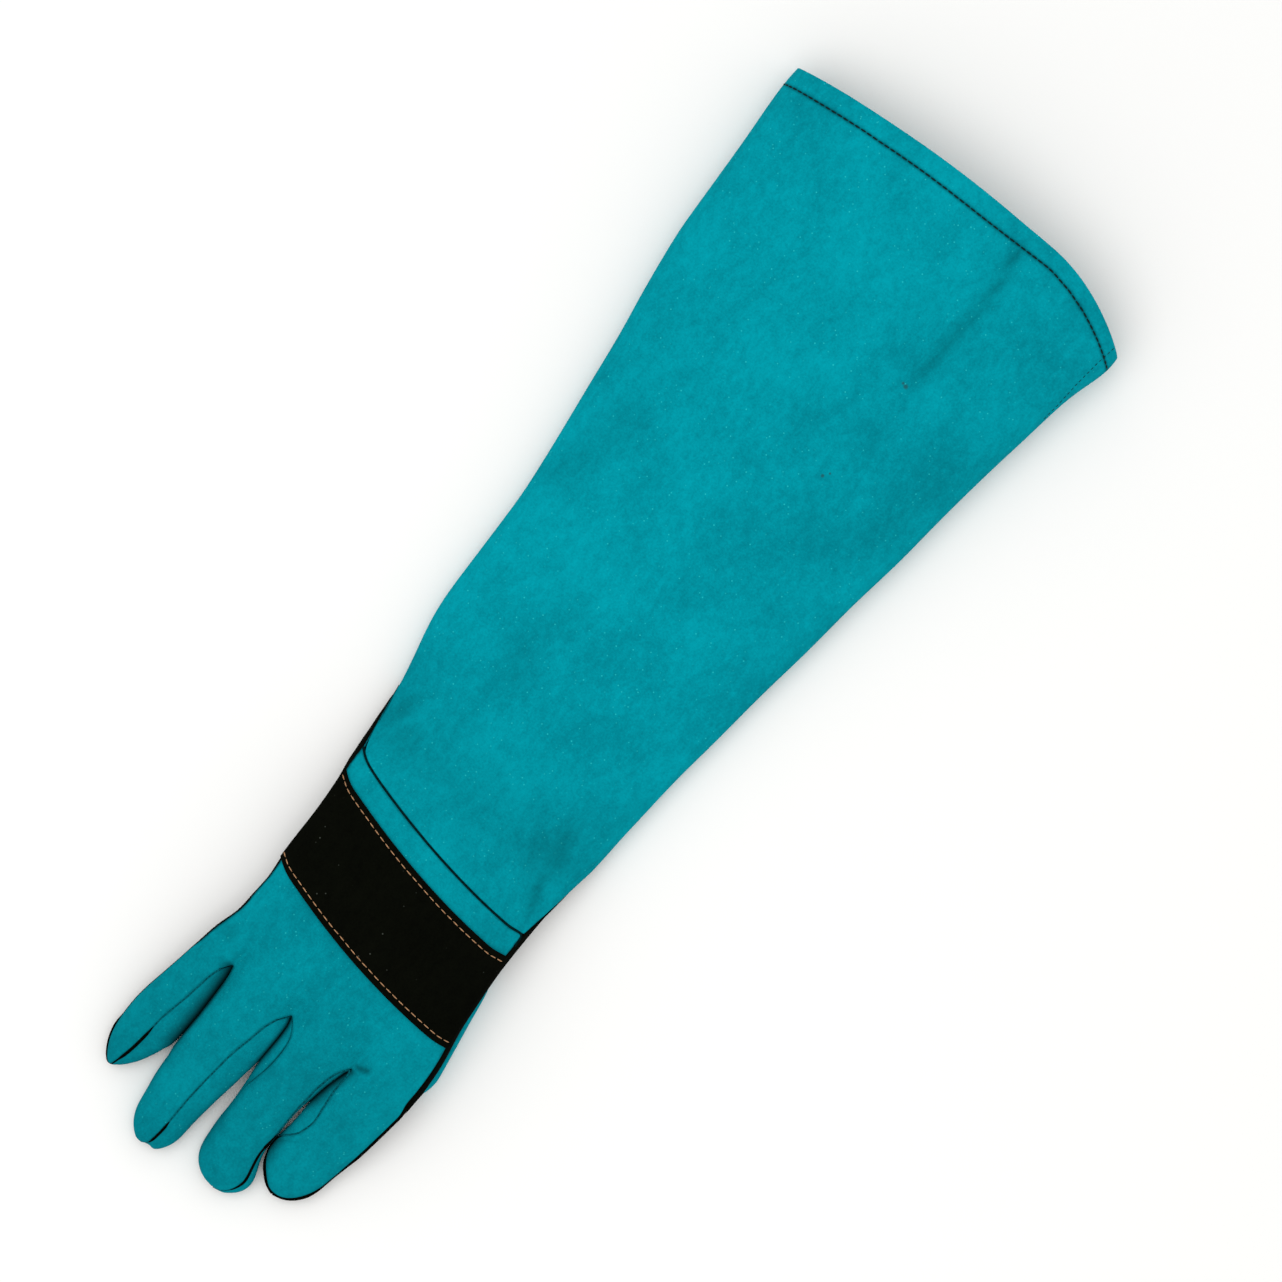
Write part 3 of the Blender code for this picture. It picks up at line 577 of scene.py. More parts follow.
def line_distance(places, line):
    """Plan distance of every place from a line of plan points, and how far along it lies."""
    points = np.array(line, float)
    spans = np.linalg.norm(np.diff(points, axis=0), axis=1)
    starts = np.concatenate([[0.0], np.cumsum(spans)])
    best = np.full(len(places), np.inf)
    along = np.zeros(len(places))
    for number, span in enumerate(spans):
        step = (points[number + 1] - points[number]) / span
        offset = places[:, :2] - points[number]
        reach = np.clip(offset @ step, 0, span)
        distance = np.linalg.norm(offset - reach[:, None] * step, axis=1)
        nearer = distance < best
        best = np.where(nearer, distance, best)
        along = np.where(nearer, (starts[number] + reach) / starts[-1], along)
    return best, along


def smooth_step(values, low, high):
    """0 below low, 1 above high and smooth between."""
    share = np.clip((values - low) / (high - low), 0, 1)
    return share * share * (3 - 2 * share)


def body_heights():
    """Places along the glove with its lowest and highest points there."""
    names = ("gauntlet", "palm", "hand_back")
    places = np.concatenate([positions(frame["nodes"][name].data) for name in names])
    stations = np.linspace(places[:, 1].min(), places[:, 1].max(), HEIGHT_STATIONS)
    reach = stations[1] - stations[0]
    low = [places[abs(places[:, 1] - station) < reach, 2].min() for station in stations]
    high = [places[abs(places[:, 1] - station) < reach, 2].max() for station in stations]
    return stations, np.array(low), np.array(high)


def fading(along):
    """1 in the middle of a line, falling towards its ends."""
    return smooth_step(along, *FADE_SHARES) * smooth_step(1 - along, *FADE_SHARES)


def upper_share(places):
    """1 on the back of the glove, 0 on its underside and smooth between."""
    stations, low, high = body_heights()
    floor = np.interp(places[:, 1], stations, low)
    top = np.interp(places[:, 1], stations, high)
    level = (places[:, 2] - floor) / (top - floor)
    return smooth_step(level, *BACK_SHARES)


def settle(piece):
    """Slow waves, soft folds and leaning fingers, the same for all pieces of the glove."""
    places = positions(piece.data)
    waves = sum(share * slow_waves(places, size, seed) for size, share, seed in SLOW_WAVES)
    rise = bpy.context.scene.glove_leather.buckle * waves
    for line, half_width, fold_depth, _ in FOLDS:
        distance, along = line_distance(places * 1000, line)
        rise -= 0.001 * fold_depth * fading(along) * np.exp(-(distance / half_width) ** 2)
    rooted = smooth_step(places[:, 1], *ROOTS_START) * (1 - smooth_step(places[:, 1], *ROOTS_END))
    for side, start, full, root_depth in FINGER_ROOTS:
        rise -= 0.001 * root_depth * smooth_step(side * places[:, 0] * 1000, start, full) * rooted
    moved = places.copy()
    moved[:, 2] += rise * upper_share(places)
    for gap in FINGER_GAPS:
        offset, half, lean = gap_values(places, gap)
        near = 1 - smooth_step(abs(offset), half, half + LEAN_REACH)
        moved[:, 0] -= 0.001 * np.sign(offset) * lean * near * np.maximum(half - LEAST_GAP, 0)
    for (x, y), radius, fold_depth in TIP_DENTS:
        distance = np.hypot(places[:, 0] * 1000 - x, places[:, 1] * 1000 - y)
        moved[:, 1] -= 0.001 * fold_depth * np.exp(-(distance / radius) ** 2)
    moved[:, 2] = np.maximum(moved[:, 2], 0.0)
    move_to(piece.data, moved)


def plan_edge(node, side):
    """Place along the glove of a node's low (-1) or high (1) end, as a line over its width."""
    data = frame["nodes"][node].data
    corners = positions(data)
    pairs = np.array([edge.vertices[:] for edge in data.edges])
    shares = np.linspace(0, 1, EDGE_SAMPLES)[:, None, None]
    places = (corners[pairs[:, 0]] * (1 - shares) + corners[pairs[:, 1]] * shares).reshape(-1, 3)
    stations = np.linspace(places[:, 0].min(), places[:, 0].max(), PLAN_STATIONS)
    reach = 0.6 * (stations[1] - stations[0])
    ends = []
    for station in stations:
        near = places[abs(places[:, 0] - station) < reach, 1]
        ends.append(near.min() if side < 0 else near.max())
    return stations, np.array(ends)


def mouth_distance(places):
    """Distance of every place from the cuff's edge, along the glove."""
    stations, ends = plan_edge("gauntlet", -1)
    return places[:, 1] - np.interp(places[:, 0], stations, ends)


def hem_depth(stations):
    """Distance of the hem's stitches from the cuff's edge at places across the glove."""
    inset = bpy.context.scene.glove_thread.hem_inset
    return inset + HEM_GAIN * smooth_step(stations, *HEM_GAIN_PLACES)


def hem_rows(piece, reach):
    """Cut the rows of the cuff's hem finer, so that they can take its groove."""
    mesh = bmesh.new()
    mesh.from_mesh(piece.data)
    mesh.verts.ensure_lookup_table()
    distance = mouth_distance(np.array([vert.co for vert in mesh.verts]))
    rows = []
    for edge in mesh.edges:
        near, far = edge.verts
        step = far.co - near.co
        close = max(distance[near.index], distance[far.index]) < reach
        if close and abs(step.y) > 0.8 * step.length:
            rows.append(edge)
    bmesh.ops.subdivide_edges(mesh, edges=rows, cuts=3, use_grid_fill=True)
    mesh.to_mesh(piece.data)
    mesh.free()
    piece.data.shade_smooth()


def press_hem(piece):
    """Swell the hem and press the groove of its stitches into the outside."""
    hem_rows(piece, bpy.context.scene.glove_thread.hem_inset + HEM_ROWS_REACH)
    places = positions(piece.data)
    outer = outer_share(piece)
    distance = mouth_distance(places)
    inwards = distance - hem_depth(places[:, 0])
    swell = smooth_step(distance, 0.0, 0.003) * (1 - smooth_step(inwards, -0.003, 0.0))
    groove = np.exp(-(inwards / HEM_GROOVE_WIDTH) ** 2)
    pucker = 0.5 + 0.5 * slow_waves(places, PUCKER_SIZE, 5)
    push = HEM_SWELL * swell - groove * (HEM_GROOVE_DEPTH + PUCKER_DEPTH * pucker)
    directions = vertex_normals(piece.data)
    push *= smooth_step(outer, *OUTER_SHARES) * smooth_step(abs(directions[:, 2]), 0.3, 0.8)
    places += directions * push[:, None]
    move_to(piece.data, places)


def vertex_normals(data):
    """Vertex normals of a mesh as an array."""
    values = np.empty(len(data.vertices) * 3, np.float32)
    data.vertex_normals.foreach_get("vector", values)
    return values.reshape(-1, 3).astype(float)


def press_band(piece):
    """Press the grooves of the stitches into the wrist band."""
    inset = bpy.context.scene.glove_thread.band_inset
    places = positions(piece.data)
    outer = outer_share(piece)
    depth = np.zeros(len(places))
    for side in (-1, 1):
        stations, ends = plan_edge("wrist_band", side)
        distance = side * (np.interp(places[:, 0], stations, ends) - places[:, 1])
        depth += BAND_GROOVE_DEPTH * np.exp(-((distance - inset) / BAND_GROOVE_WIDTH) ** 2)
    places[:, 2] -= depth * smooth_step(outer, *OUTER_SHARES)
    move_to(piece.data, places)


def seam_tree():
    """Search tree over the outer edges of the hand's leather, where all seams run."""
    places = []
    for node in ("hand_back", "palm"):
        for loop in outer_loops(node):
            line = [place for place, _ in loop] + [loop[0][0]]
            places += [Vector(place) for place in even_line(line, SEAM_STEP)]
    tree = KDTree(len(places))
    for number, place in enumerate(places):
        tree.insert(place, number)
    tree.balance()
    return tree


def add_value(data, name, values):
    """Store a number for every vertex of a mesh."""
    layer = data.attributes.new(name, "FLOAT", "POINT")
    layer.data.foreach_set("value", values.astype(np.float32))


def mark(piece, tree):
    """Store how near every vertex lies to a seam, in millimetres, and how shaded it is."""
    places = positions(piece.data)
    distance = np.array([tree.find(place)[2] for place in places]) * 1000
    add_value(piece.data, "seam_distance", np.minimum(distance, FARTHEST_SEAM))
    shade = np.maximum(fold_shade(places), gap_shade(places))
    if piece.name.startswith("gauntlet"):
        shade = np.maximum(shade, hem_shade(places))
    tone = np.interp(places[:, 1] * 1000, *zip(*TONES))
    add_value(piece.data, "shade", 1 - (1 - shade) * (1 - tone))


def fold_shade(places):
    """Shade in the bottom of the soft folds, from 0 to 1."""
    shade = np.zeros(len(places))
    for line, half_width, _, darkness in FOLDS:
        distance, along = line_distance(places * 1000, line)
        shade = np.maximum(shade, darkness * fading(along) * np.exp(-(distance / half_width) ** 2))
    return shade * upper_share(places)


def hem_shade(places):
    """Shade in the groove of the hem's stitches, from 0 to 1."""
    distance = mouth_distance(places) - hem_depth(places[:, 0])
    return HEM_DARKNESS * np.exp(-(distance / HEM_SHADE_WIDTH) ** 2)


def gap_values(places, gap):
    """Offset from a finger gap's middle line, half width and lean there, in millimetres."""
    line = np.array(gap[0], float)
    x, y = places[:, 0] * 1000, places[:, 1] * 1000
    middle, half, lean = (np.interp(y, line[:, 1], line[:, column]) for column in (0, 2, 3))
    inside = smooth_step(y, line[0, 1] - 1.5, line[0, 1] + 1.5)
    inside *= 1 - smooth_step(y, line[-1, 1], line[-1, 1] + 3.0)
    return x - middle, half, lean * inside


def gap_shade(places):
    """Shade on the leather that turns down between two fingers, from 0 to 1."""
    shade = np.zeros(len(places))
    for gap in FINGER_GAPS:
        offset, half, lean = gap_values(places, gap)
        reach = np.where(offset < 0, gap[1], gap[2])
        depth = np.clip(GAP_SHADE_START - (abs(offset) - half) / reach, 0, 1)
        shade = np.maximum(shade, GAP_DARKNESS * lean * depth ** GAP_SHADE_POWER)
    return shade


# Materials


def new_socket(tree, name, direction, kind, default=None):
    """Named input or output of a node group."""
    socket = tree.interface.new_socket(name=name, in_out=direction, socket_type=kind)
    if default is not None:
        socket.default_value = default
    return socket


def add_node(tree, kind, inputs=None, **settings):
    """Node with its settings and with inputs that are constants or other nodes' sockets."""
    node = tree.nodes.new(kind)
    for name, value in settings.items():
        setattr(node, name, value)
    for name, value in (inputs or {}).items():
        if isinstance(value, bpy.types.NodeSocket):
            tree.links.new(value, node.inputs[name])
        else:
            node.inputs[name].default_value = value
    return node


def object_place(tree):
    """Place on the piece in its own coordinates."""
    return tree.nodes.new("ShaderNodeTexCoord").outputs["Object"]


def maths(tree, operation, first, second):
    """Output of a Math node whose inputs are sockets or numbers."""
    return add_node(tree, "ShaderNodeMath", {0: first, 1: second}, operation=operation).outputs[0]


def ranged(tree, value, low, high, to_low, to_high):
    """Value moved smoothly from one range to another."""
    ends = {"From Min": low, "From Max": high, "To Min": to_low, "To Max": to_high}
    inputs = {"Value": value, **ends}
    node = add_node(tree, "ShaderNodeMapRange", inputs, interpolation_type="SMOOTHSTEP")
    return node.outputs["Result"]


def mixed(tree, share, first, second):
    """Colour mixed between two colours or sockets by a share."""
    inputs = {0: share}
    for place, value in zip(MIX_INPUTS, (first, second)):
        plain = not isinstance(value, bpy.types.NodeSocket)
        inputs[place] = (*value, 1.0) if plain else value
    return add_node(tree, "ShaderNodeMix", inputs, data_type="RGBA").outputs[MIX_OUTPUT]


def noise_value(tree, place, size, detail, roughness, stretch=(1.0, 1.0, 1.0)):
    """Noise with bumps of about one size, from a number or a socket."""
    mapping = add_node(tree, "ShaderNodeMapping", {"Vector": place, "Scale": stretch})
    plain = not isinstance(size, bpy.types.NodeSocket)
    inputs = {
        "Vector": mapping.outputs["Vector"],
        "Scale": 1.0 / size if plain else maths(tree, "DIVIDE", 1.0, size),
        "Detail": detail,
        "Roughness": roughness,
    }
    return add_node(tree, "ShaderNodeTexNoise", inputs).outputs["Fac"]


def scattered(tree, place, scale, edge):
    """Mask of small dots, from the cells of a scale and the share of them where a dot ends."""
    cells = add_node(tree, "ShaderNodeTexVoronoi", {"Vector": place, "Scale": scale})
    return ranged(tree, cells.outputs["Distance"], *edge, 1.0, 0.0)


def suede_group():
    """Node group with the nap and the mottled tone of suede."""
    tree = bpy.data.node_groups.new("Suede Nap", "ShaderNodeTree")
    new_socket(tree, "Nap Size", "INPUT", "NodeSocketFloat", 0.001)
    new_socket(tree, "Mottle Size", "INPUT", "NodeSocketFloat", 0.03)
    new_socket(tree, "Nap", "OUTPUT", "NodeSocketFloat")
    new_socket(tree, "Tone", "OUTPUT", "NodeSocketFloat")
    new_socket(tree, "Specks", "OUTPUT", "NodeSocketFloat")
    entry = tree.nodes.new("NodeGroupInput")
    leave = tree.nodes.new("NodeGroupOutput")
    place = object_place(tree)
    nap_size, mottle_size = entry.outputs["Nap Size"], entry.outputs["Mottle Size"]
    tuft_size = maths(tree, "MULTIPLY", nap_size, 3.2)
    patch_size = maths(tree, "MULTIPLY", mottle_size, 3.4)
    nap = noise_value(tree, place, nap_size, 3.0, 0.65)
    tufts = noise_value(tree, place, tuft_size, 2.0, 0.6, (1.0, 0.6, 1.0))
    clouds = noise_value(tree, place, mottle_size, 3.0, 0.55, (1.0, 0.7, 1.0))
    patches = noise_value(tree, place, patch_size, 2.0, 0.5)
    low_share = maths(tree, "MULTIPLY", tufts, 0.35)
    height = maths(tree, "ADD", maths(tree, "MULTIPLY", nap, 0.65), low_share)
    tone = maths(tree, "MULTIPLY", nap, 0.9)
    for value, weight in ((tufts, 0.7), (clouds, 0.8), (patches, 0.6)):
        tone = maths(tree, "ADD", tone, maths(tree, "MULTIPLY", value, weight))
    specks = scattered(tree, place, SPECK_SCALE, (0.05, 0.16))
    rare = ranged(tree, noise_value(tree, place, 0.005, 1.0, 0.5), 0.42, 0.62, 0.0, 1.0)
    tree.links.new(maths(tree, "MULTIPLY", specks, rare), leave.inputs["Specks"])
    tree.links.new(height, leave.inputs["Nap"])
    tree.links.new(ranged(tree, tone, 0.95, 2.05, 0.0, 1.0), leave.inputs["Tone"])
    return tree


def seam_group():
    """Node group that says how much a place belongs to a seam's shade."""
    tree = bpy.data.node_groups.new("Seam Shade", "ShaderNodeTree")
    new_socket(tree, "Width", "INPUT", "NodeSocketFloat", 1.0)
    new_socket(tree, "Shade", "OUTPUT", "NodeSocketFloat")
    entry = tree.nodes.new("NodeGroupInput")
    leave = tree.nodes.new("NodeGroupOutput")
    distance = add_node(tree, "ShaderNodeAttribute", attribute_name="seam_distance").outputs["Fac"]
    place = object_place(tree)
    uneven = ranged(tree, noise_value(tree, place, 0.006, 2.0, 0.5), 0.3, 0.7, 0.7, 1.3)
    width = maths(tree, "MULTIPLY", entry.outputs["Width"], uneven)
    share = maths(tree, "DIVIDE", distance, width)
    tree.links.new(ranged(tree, share, 0.35, 1.0, 1.0, 0.0), leave.inputs["Shade"])
    return tree


def spot_mask(tree, place, spots):
    """Mask of small marks at given plan places."""
    total = None
    inputs = {0: place, 1: (1.0, 1.0, 0.0)}
    flat = add_node(tree, "ShaderNodeVectorMath", inputs, operation="MULTIPLY").outputs["Vector"]
    for x, y, radius in spots:
        inputs = {0: flat, 1: (x / 1000, y / 1000, 0.0)}
        offset = add_node(tree, "ShaderNodeVectorMath", inputs, operation="DISTANCE")
        spot = ranged(tree, offset.outputs["Value"], 0.0003 * radius, 0.001 * radius, 1.0, 0.0)
        total = spot if total is None else maths(tree, "MAXIMUM", total, spot)
    return total


def new_material(name, roughness, specular):
    """Material with a Principled shader and its constant values."""
    material = bpy.data.materials.new(name)
    material.use_nodes = True
    shader = material.node_tree.nodes["Principled BSDF"]
    shader.inputs["Roughness"].default_value = roughness
    shader.inputs["Specular IOR Level"].default_value = specular
    return material, material.node_tree, shader


def suede_values(tree, nap_size, mottle_size):
    """Nap, tone and speck sockets of suede in a material."""
    inputs = {"Nap Size": nap_size, "Mottle Size": mottle_size}
    group = bpy.data.node_groups["Suede Nap"]
    suede = add_node(tree, "ShaderNodeGroup", inputs, node_tree=group)
    return suede.outputs["Nap"], suede.outputs["Tone"], suede.outputs["Specks"]


def add_bump(tree, shader, height, distance, strength):
    """Bump from a height of the surface."""
    inputs = {"Height": height, "Distance": distance, "Strength": strength}
    bump = add_node(tree, "ShaderNodeBump", inputs)
    tree.links.new(bump.outputs["Normal"], shader.inputs["Normal"])


def shaded(tree, plain, dark):
    """Colour darkened with painted shade in seams, folds and between the fingers."""
    inputs = {"Width": SEAM_SHADE_WIDTH}
    group = bpy.data.node_groups["Seam Shade"]
    seam = add_node(tree, "ShaderNodeGroup", inputs, node_tree=group)
    shade = add_node(tree, "ShaderNodeAttribute", attribute_name="shade").outputs["Fac"]
    near = maths(tree, "MULTIPLY", seam.outputs["Shade"], SEAM_DARKNESS)
    return mixed(tree, maths(tree, "MAXIMUM", near, shade), plain, dark)


def teal_suede(settings):
    """Mottled teal suede, darker with painted shade in the seams and folds, and with a few small
    marks.
    """
    material, tree, shader = new_material("teal_suede", 0.95, 0.01)
    nap, tone, specks = suede_values(tree, settings.nap_size, 0.022)
    tint = mixed(tree, tone, settings.teal_dark, settings.teal_light)
    tint = mixed(tree, maths(tree, "MULTIPLY", specks, 0.55), tint, SPECK_COLOUR)
    tint = shaded(tree, tint, settings.seam)
    place = object_place(tree)
    marks = maths(tree, "MULTIPLY", spot_mask(tree, place, TEAL_MARKS), 0.6)
    tree.links.new(mixed(tree, marks, tint, MARK_COLOUR), shader.inputs["Base Color"])
    tree.links.new(ranged(tree, tone, 0.0, 1.0, 0.9, 1.0), shader.inputs["Roughness"])
    add_bump(tree, shader, nap, settings.nap_depth, 0.7)
    return material


def black_suede(settings):
    """Black suede with a little pale dust on its nap."""
    material, tree, shader = new_material("black_suede", 0.9, 0.02)
    nap, tone, _ = suede_values(tree, settings.nap_size, 0.03)
    dark = [value * 0.6 for value in settings.black]
    light = [value * 1.7 for value in settings.black]
    tint = mixed(tree, tone, dark, light)
    place = object_place(tree)
    dust = scattered(tree, place, DUST_SCALE, (0.03, 0.1))
    rare = ranged(tree, noise_value(tree, place, 0.011, 0.0, 0.5), 0.47, 0.55, 0.0, 1.0)
    dust = maths(tree, "MULTIPLY", maths(tree, "MULTIPLY", dust, rare), 0.7)
    tree.links.new(mixed(tree, dust, tint, DUST_COLOUR), shader.inputs["Base Color"])
    add_bump(tree, shader, nap, settings.nap_depth, 0.6)
    return material


def uneven_material(name, roughness, specular, tint, size, shares, bump):
    """Material with fine noise between a darker and a lighter share of its colour."""
    material, tree, shader = new_material(name, roughness, specular)
    place = object_place(tree)
    noise = noise_value(tree, place, size, 2.0, 0.6)
    dark, light = ([min(1.0, value * share) for value in tint] for share in shares)
    uneven = mixed(tree, ranged(tree, noise, 0.3, 0.7, 0.0, 1.0), dark, light)
    tree.links.new(uneven, shader.inputs["Base Color"])
    add_bump(tree, shader, noise, *bump)
    return material


def thread_material(name, tint):
    """Twisted sewing thread."""
    return uneven_material(name, 0.7, 0.1, tint, 0.0006, (0.6, 1.25), (0.0002, 0.5))


def seam_material(name, tint):
    """Turned leather edge down in a seam; in the wrist and finger seams its dark colour is painted
    seam shade.
    """
    return uneven_material(name, 0.95, 0.01, tint, 0.0012, (0.5, 1.5), (0.0003, 0.6))


def floor_material(tint):
    """Plain pale floor with a hardly visible unevenness."""
    material, tree, shader = new_material("pale_floor", 0.9, 0.1)
    place = object_place(tree)
    uneven = noise_value(tree, place, 0.4, 1.0, 0.5)
    darker = [value * 0.99 for value in tint]
    tree.links.new(mixed(tree, uneven, darker, list(tint)), shader.inputs["Base Color"])
    return material


def material_named(name):
    """A material of this glove, made when it is first asked for."""
    found = bpy.data.materials.get(name)
    if found:
        return found
    leather = bpy.context.scene.glove_leather
    thread = bpy.context.scene.glove_thread
    if "Suede Nap" not in bpy.data.node_groups:
        suede_group()
        seam_group()
    makers = {
        "teal_suede": lambda: teal_suede(leather),
        "black_suede": lambda: black_suede(leather),
        "tan_thread": lambda: thread_material("tan_thread", thread.tan),
        "dark_thread": lambda: thread_material("dark_thread", thread.dark),
        "wrist_seam_shade": lambda: seam_material("wrist_seam_shade", leather.seam),
        "fine_seam_shade": lambda: seam_material("fine_seam_shade", leather.fine_seam_shade),
        "black_seam": lambda: seam_material("black_seam", leather.black),
        "pale_floor": lambda: floor_material(bpy.context.scene.glove_stage.floor),
    }
    return makers[name]()


# Seams and stitches


def outer_loops(node):
    """Closed lines round the outside of a piece of leather: places and outward directions."""
    mesh = merged_copy(node)
    edges = cut_edges(mesh)
    outside = set(outer_faces(mesh, edges))
    rim = [edge for edge in edges if sum(face in outside for face in edge.link_faces) == 1]
    left = set(rim)
    loops = []
    for edge in rim:
        if edge not in left:
            continue
        left.remove(edge)
        first, vert = edge.verts
        chain = [first]
        while vert is not first:
            chain.append(vert)
            onward = [other for other in vert.link_edges if other in left]
            if not onward:
                break
            left.remove(onward[0])
            vert = onward[0].other_vert(vert)
        loops.append([(point.co.copy(), outward(point, outside)) for point in chain])
    mesh.free()
    return loops


def outward(vert, outside):
    """Direction out of the leather at a point of its cut edge."""
    total = Vector()
    for face in vert.link_faces:
        if face in outside:
            total += face.normal
    return total.normalized()


def seam_runs(node, others):
    """Stretches of a piece's edge along its neighbours: kind, places and outward directions."""
    tree = KDTree(len(others))
    for number, (place, _, _) in enumerate(others):
        tree.insert(place, number)
    tree.balance()
    runs = []
    for loop in outer_loops(node):
        kinds = []
        for place, direction in loop:
            _, number, distance = tree.find(place)
            near, _, owner = others[number]
            kind = owner if distance < NEIGHBOUR_REACH else None
            centre = (place + near) / 2 if kind else place
            kinds.append((kind, centre, direction))
        kinds.append(kinds[0])
        run = [kinds[0]]
        for before, after in zip(kinds, kinds[1:]):
            run.append(after)
            if before[0] != after[0]:
                runs.append(run)
                run = [after]
        runs.append(run)
    return [(run[0][0], [item[1] for item in run], [item[2] for item in run]) for run in runs]


def gaping(places):
    """How far a finger seam gapes at every place, from 0 for not at all."""
    share = np.zeros(len(places))
    for line, width in GAPING_SEAMS:
        distance, along = line_distance(places * 1000, line)
        share = np.maximum(share, width * fading(along) * (distance < GAPE_REACH))
    return share


def even_line(places, step):
    """Points at even steps along a line of places, as an array."""
    points = np.array(places, float)
    spans = np.linalg.norm(np.diff(points, axis=0), axis=1)
    lengths = np.concatenate([[0.0], np.cumsum(spans)])
    count = max(2, round(lengths[-1] / step) + 1)
    stations = np.linspace(0, lengths[-1], count)
    return np.stack([np.interp(stations, lengths, points[:, axis]) for axis in range(3)], axis=1)


def smooth_line(points):
    """Line of evenly spaced points with its small kinks taken out and its ends kept."""
    for _ in range(SMOOTHING_PASSES):
        points[1:-1] = (points[:-2] + 2 * points[1:-1] + points[2:]) / 4
    return points


def add_spline(curve, points, radii, slot):
    """One spline with its own radius at each point."""
    spline = curve.splines.new("POLY")
    spline.points.add(len(points) - 1)
    spline.material_index = slot
    for point, place, radius in zip(spline.points, points, radii):
        point.co = (*place, 1.0)
        point.radius = radius


def lowered_line(places, directions, depth):
    """Smooth line under the leather's surface."""
    lowered = [place - direction * depth for place, direction in zip(places, directions)]
    return smooth_line(even_line(lowered, CORD_STEP))


def seam_cord(curve, places, directions, thickness, cord):
    """Turned leather that lies down in a seam; in the WRIST and FINE slots its dark colour is
    painted seam shade.
    """
    width, depth, slot = cord
    points = lowered_line(places, directions, depth * thickness)
    add_spline(curve, points, np.full(len(points), width * thickness / 2), slot)


def gaping_cord(curve, places, directions, thickness):
    """Black leather, partly painted shade in the slit, that shows where a finger's seam gapes."""
    points = lowered_line(places, directions, GAPE_DEPTH * thickness)
    share = gaping(points)
    first = 0
    for last in range(1, len(points) + 1):
        if last == len(points) or share[last] < LEAST_GAPE:
            if last - first > 2:
                least, gain = GAPE_RADIUS
                radii = thickness * (least + gain * share[first:last])
                add_spline(curve, points[first:last], radii, BLACK)
            first = last + 1


def sewn_edges():
    """Outer edge points of all pieces of leather, with the node each belongs to."""
    found = []
    for node in frame["nodes"]:
        if node == "wrist_band":
            continue
        for loop in outer_loops(node):
            found += [(place, direction, node) for place, direction in loop]
    return found


def build_seams():
    """Turned leather edges that show as dark lines in all seams, their darkness partly painted
    seam shade.
    """
    thickness = bpy.context.scene.glove_thread.seam_thickness
    curve = bpy.data.curves.new("seam_leather_and_shade", "CURVE")
    curve.dimensions = "3D"
    curve.bevel_depth = 1.0
    curve.bevel_resolution = 1
    curve.use_fill_caps = True
    for name in SEAM_MATERIALS:
        curve.materials.append(material_named(name))
    edges = sewn_edges()
    for node in ("hand_back", "palm"):
        others = [item for item in edges if item[2] != node]
        for kind, places, directions in seam_runs(node, others):
            if kind is None or len(places) < 2 or (node == "palm" and kind == "hand_back"):
                continue
            if kind.startswith("fourchette"):
                cord = FINGER_CORD
            elif node == "hand_back" and kind == "gauntlet":
                cord = WRIST_CORD
            elif sum(place.x for place in places) > 0:
                cord = LITTLE_SIDE_CORD
            else:
                cord = INDEX_SIDE_CORD
            seam_cord(curve, places, directions, thickness, cord)
            gaping_cord(curve, places, directions, thickness)
    holder = link_piece("seam_line", curve)
    bpy.context.view_layer.update()
    data = evaluated_copy(holder)
    bpy.data.objects.remove(holder)
    data.name = "seam_leather_and_shade"
    data.shade_smooth()
    piece = link_piece("seam_leather_and_shade", data)
    settle(piece)
    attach(piece, BODY)


def surface_tree(name):
    """Search tree over the faces of a finished piece."""
    data = bpy.data.objects[name].data
    verts = [vert.co.copy() for vert in data.vertices]
    return BVHTree.FromPolygons(verts, [face.vertices[:] for face in data.polygons])


def drape(tree, starts, direction):
    """Places and outward directions where lines from the starts first meet a surface."""
    found = []
    for start in starts:
        place, normal, _, _ = tree.ray_cast(Vector(start), Vector(direction))
        if place is not None:
            found.append((place, normal))
    return found


def sew(mesh, line, stitch, gap, thickness):
    """Stitches along a draped line."""
    places = np.array([place for place, _ in line])
    normals = np.array([normal for _, normal in line])
    spans = np.linalg.norm(np.diff(places, axis=0), axis=1)
    lengths = np.concatenate([[0.0], np.cumsum(spans)])
    count = max(1, int((lengths[-1] + gap) / (stitch + gap)))
    pitch = (lengths[-1] + gap) / count

    def read(values, length):
        return Vector([np.interp(length, lengths, values[:, axis]) for axis in range(3)])

    for number in range(count):
        start, end = number * pitch, number * pitch + pitch - gap
        near, far = read(places, start), read(places, end)
        up = read(normals, (start + end) / 2).normalized()
        along = (far - near).normalized()
        across = up.cross(along).normalized()
        up = along.cross(across)
        turn = Matrix((across, along, up)).transposed().to_4x4()
        size = Matrix.Diagonal((thickness / 2, (far - near).length / 2, thickness / 2, 1.0))
        place = Matrix.Translation((near + far) / 2 + up * thickness * 0.12)
        shape = place @ turn @ size
        bmesh.ops.create_uvsphere(mesh, u_segments=8, v_segments=6, radius=1.0, matrix=shape)


def stitch_piece(name, mesh, material):
    """Piece made of many stitches, pressed flat where they meet the ground."""
    for face in mesh.faces:
        face.smooth = True
    for vert in mesh.verts:
        vert.co.z = max(vert.co.z, 0.0)
    piece = link_piece(name, mesh_data(name, mesh))
    piece.data.materials.append(material)
    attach(piece, BODY)


def across_glove(stations, ends, offset, margin, height):
    """Start points over a line that keeps its distance from an edge of the leather."""
    low, high = stations[0] + margin, stations[-1] - margin
    places = np.linspace(low, high, 160)
    return [(x, np.interp(x, stations, ends + offset), height) for x in places]


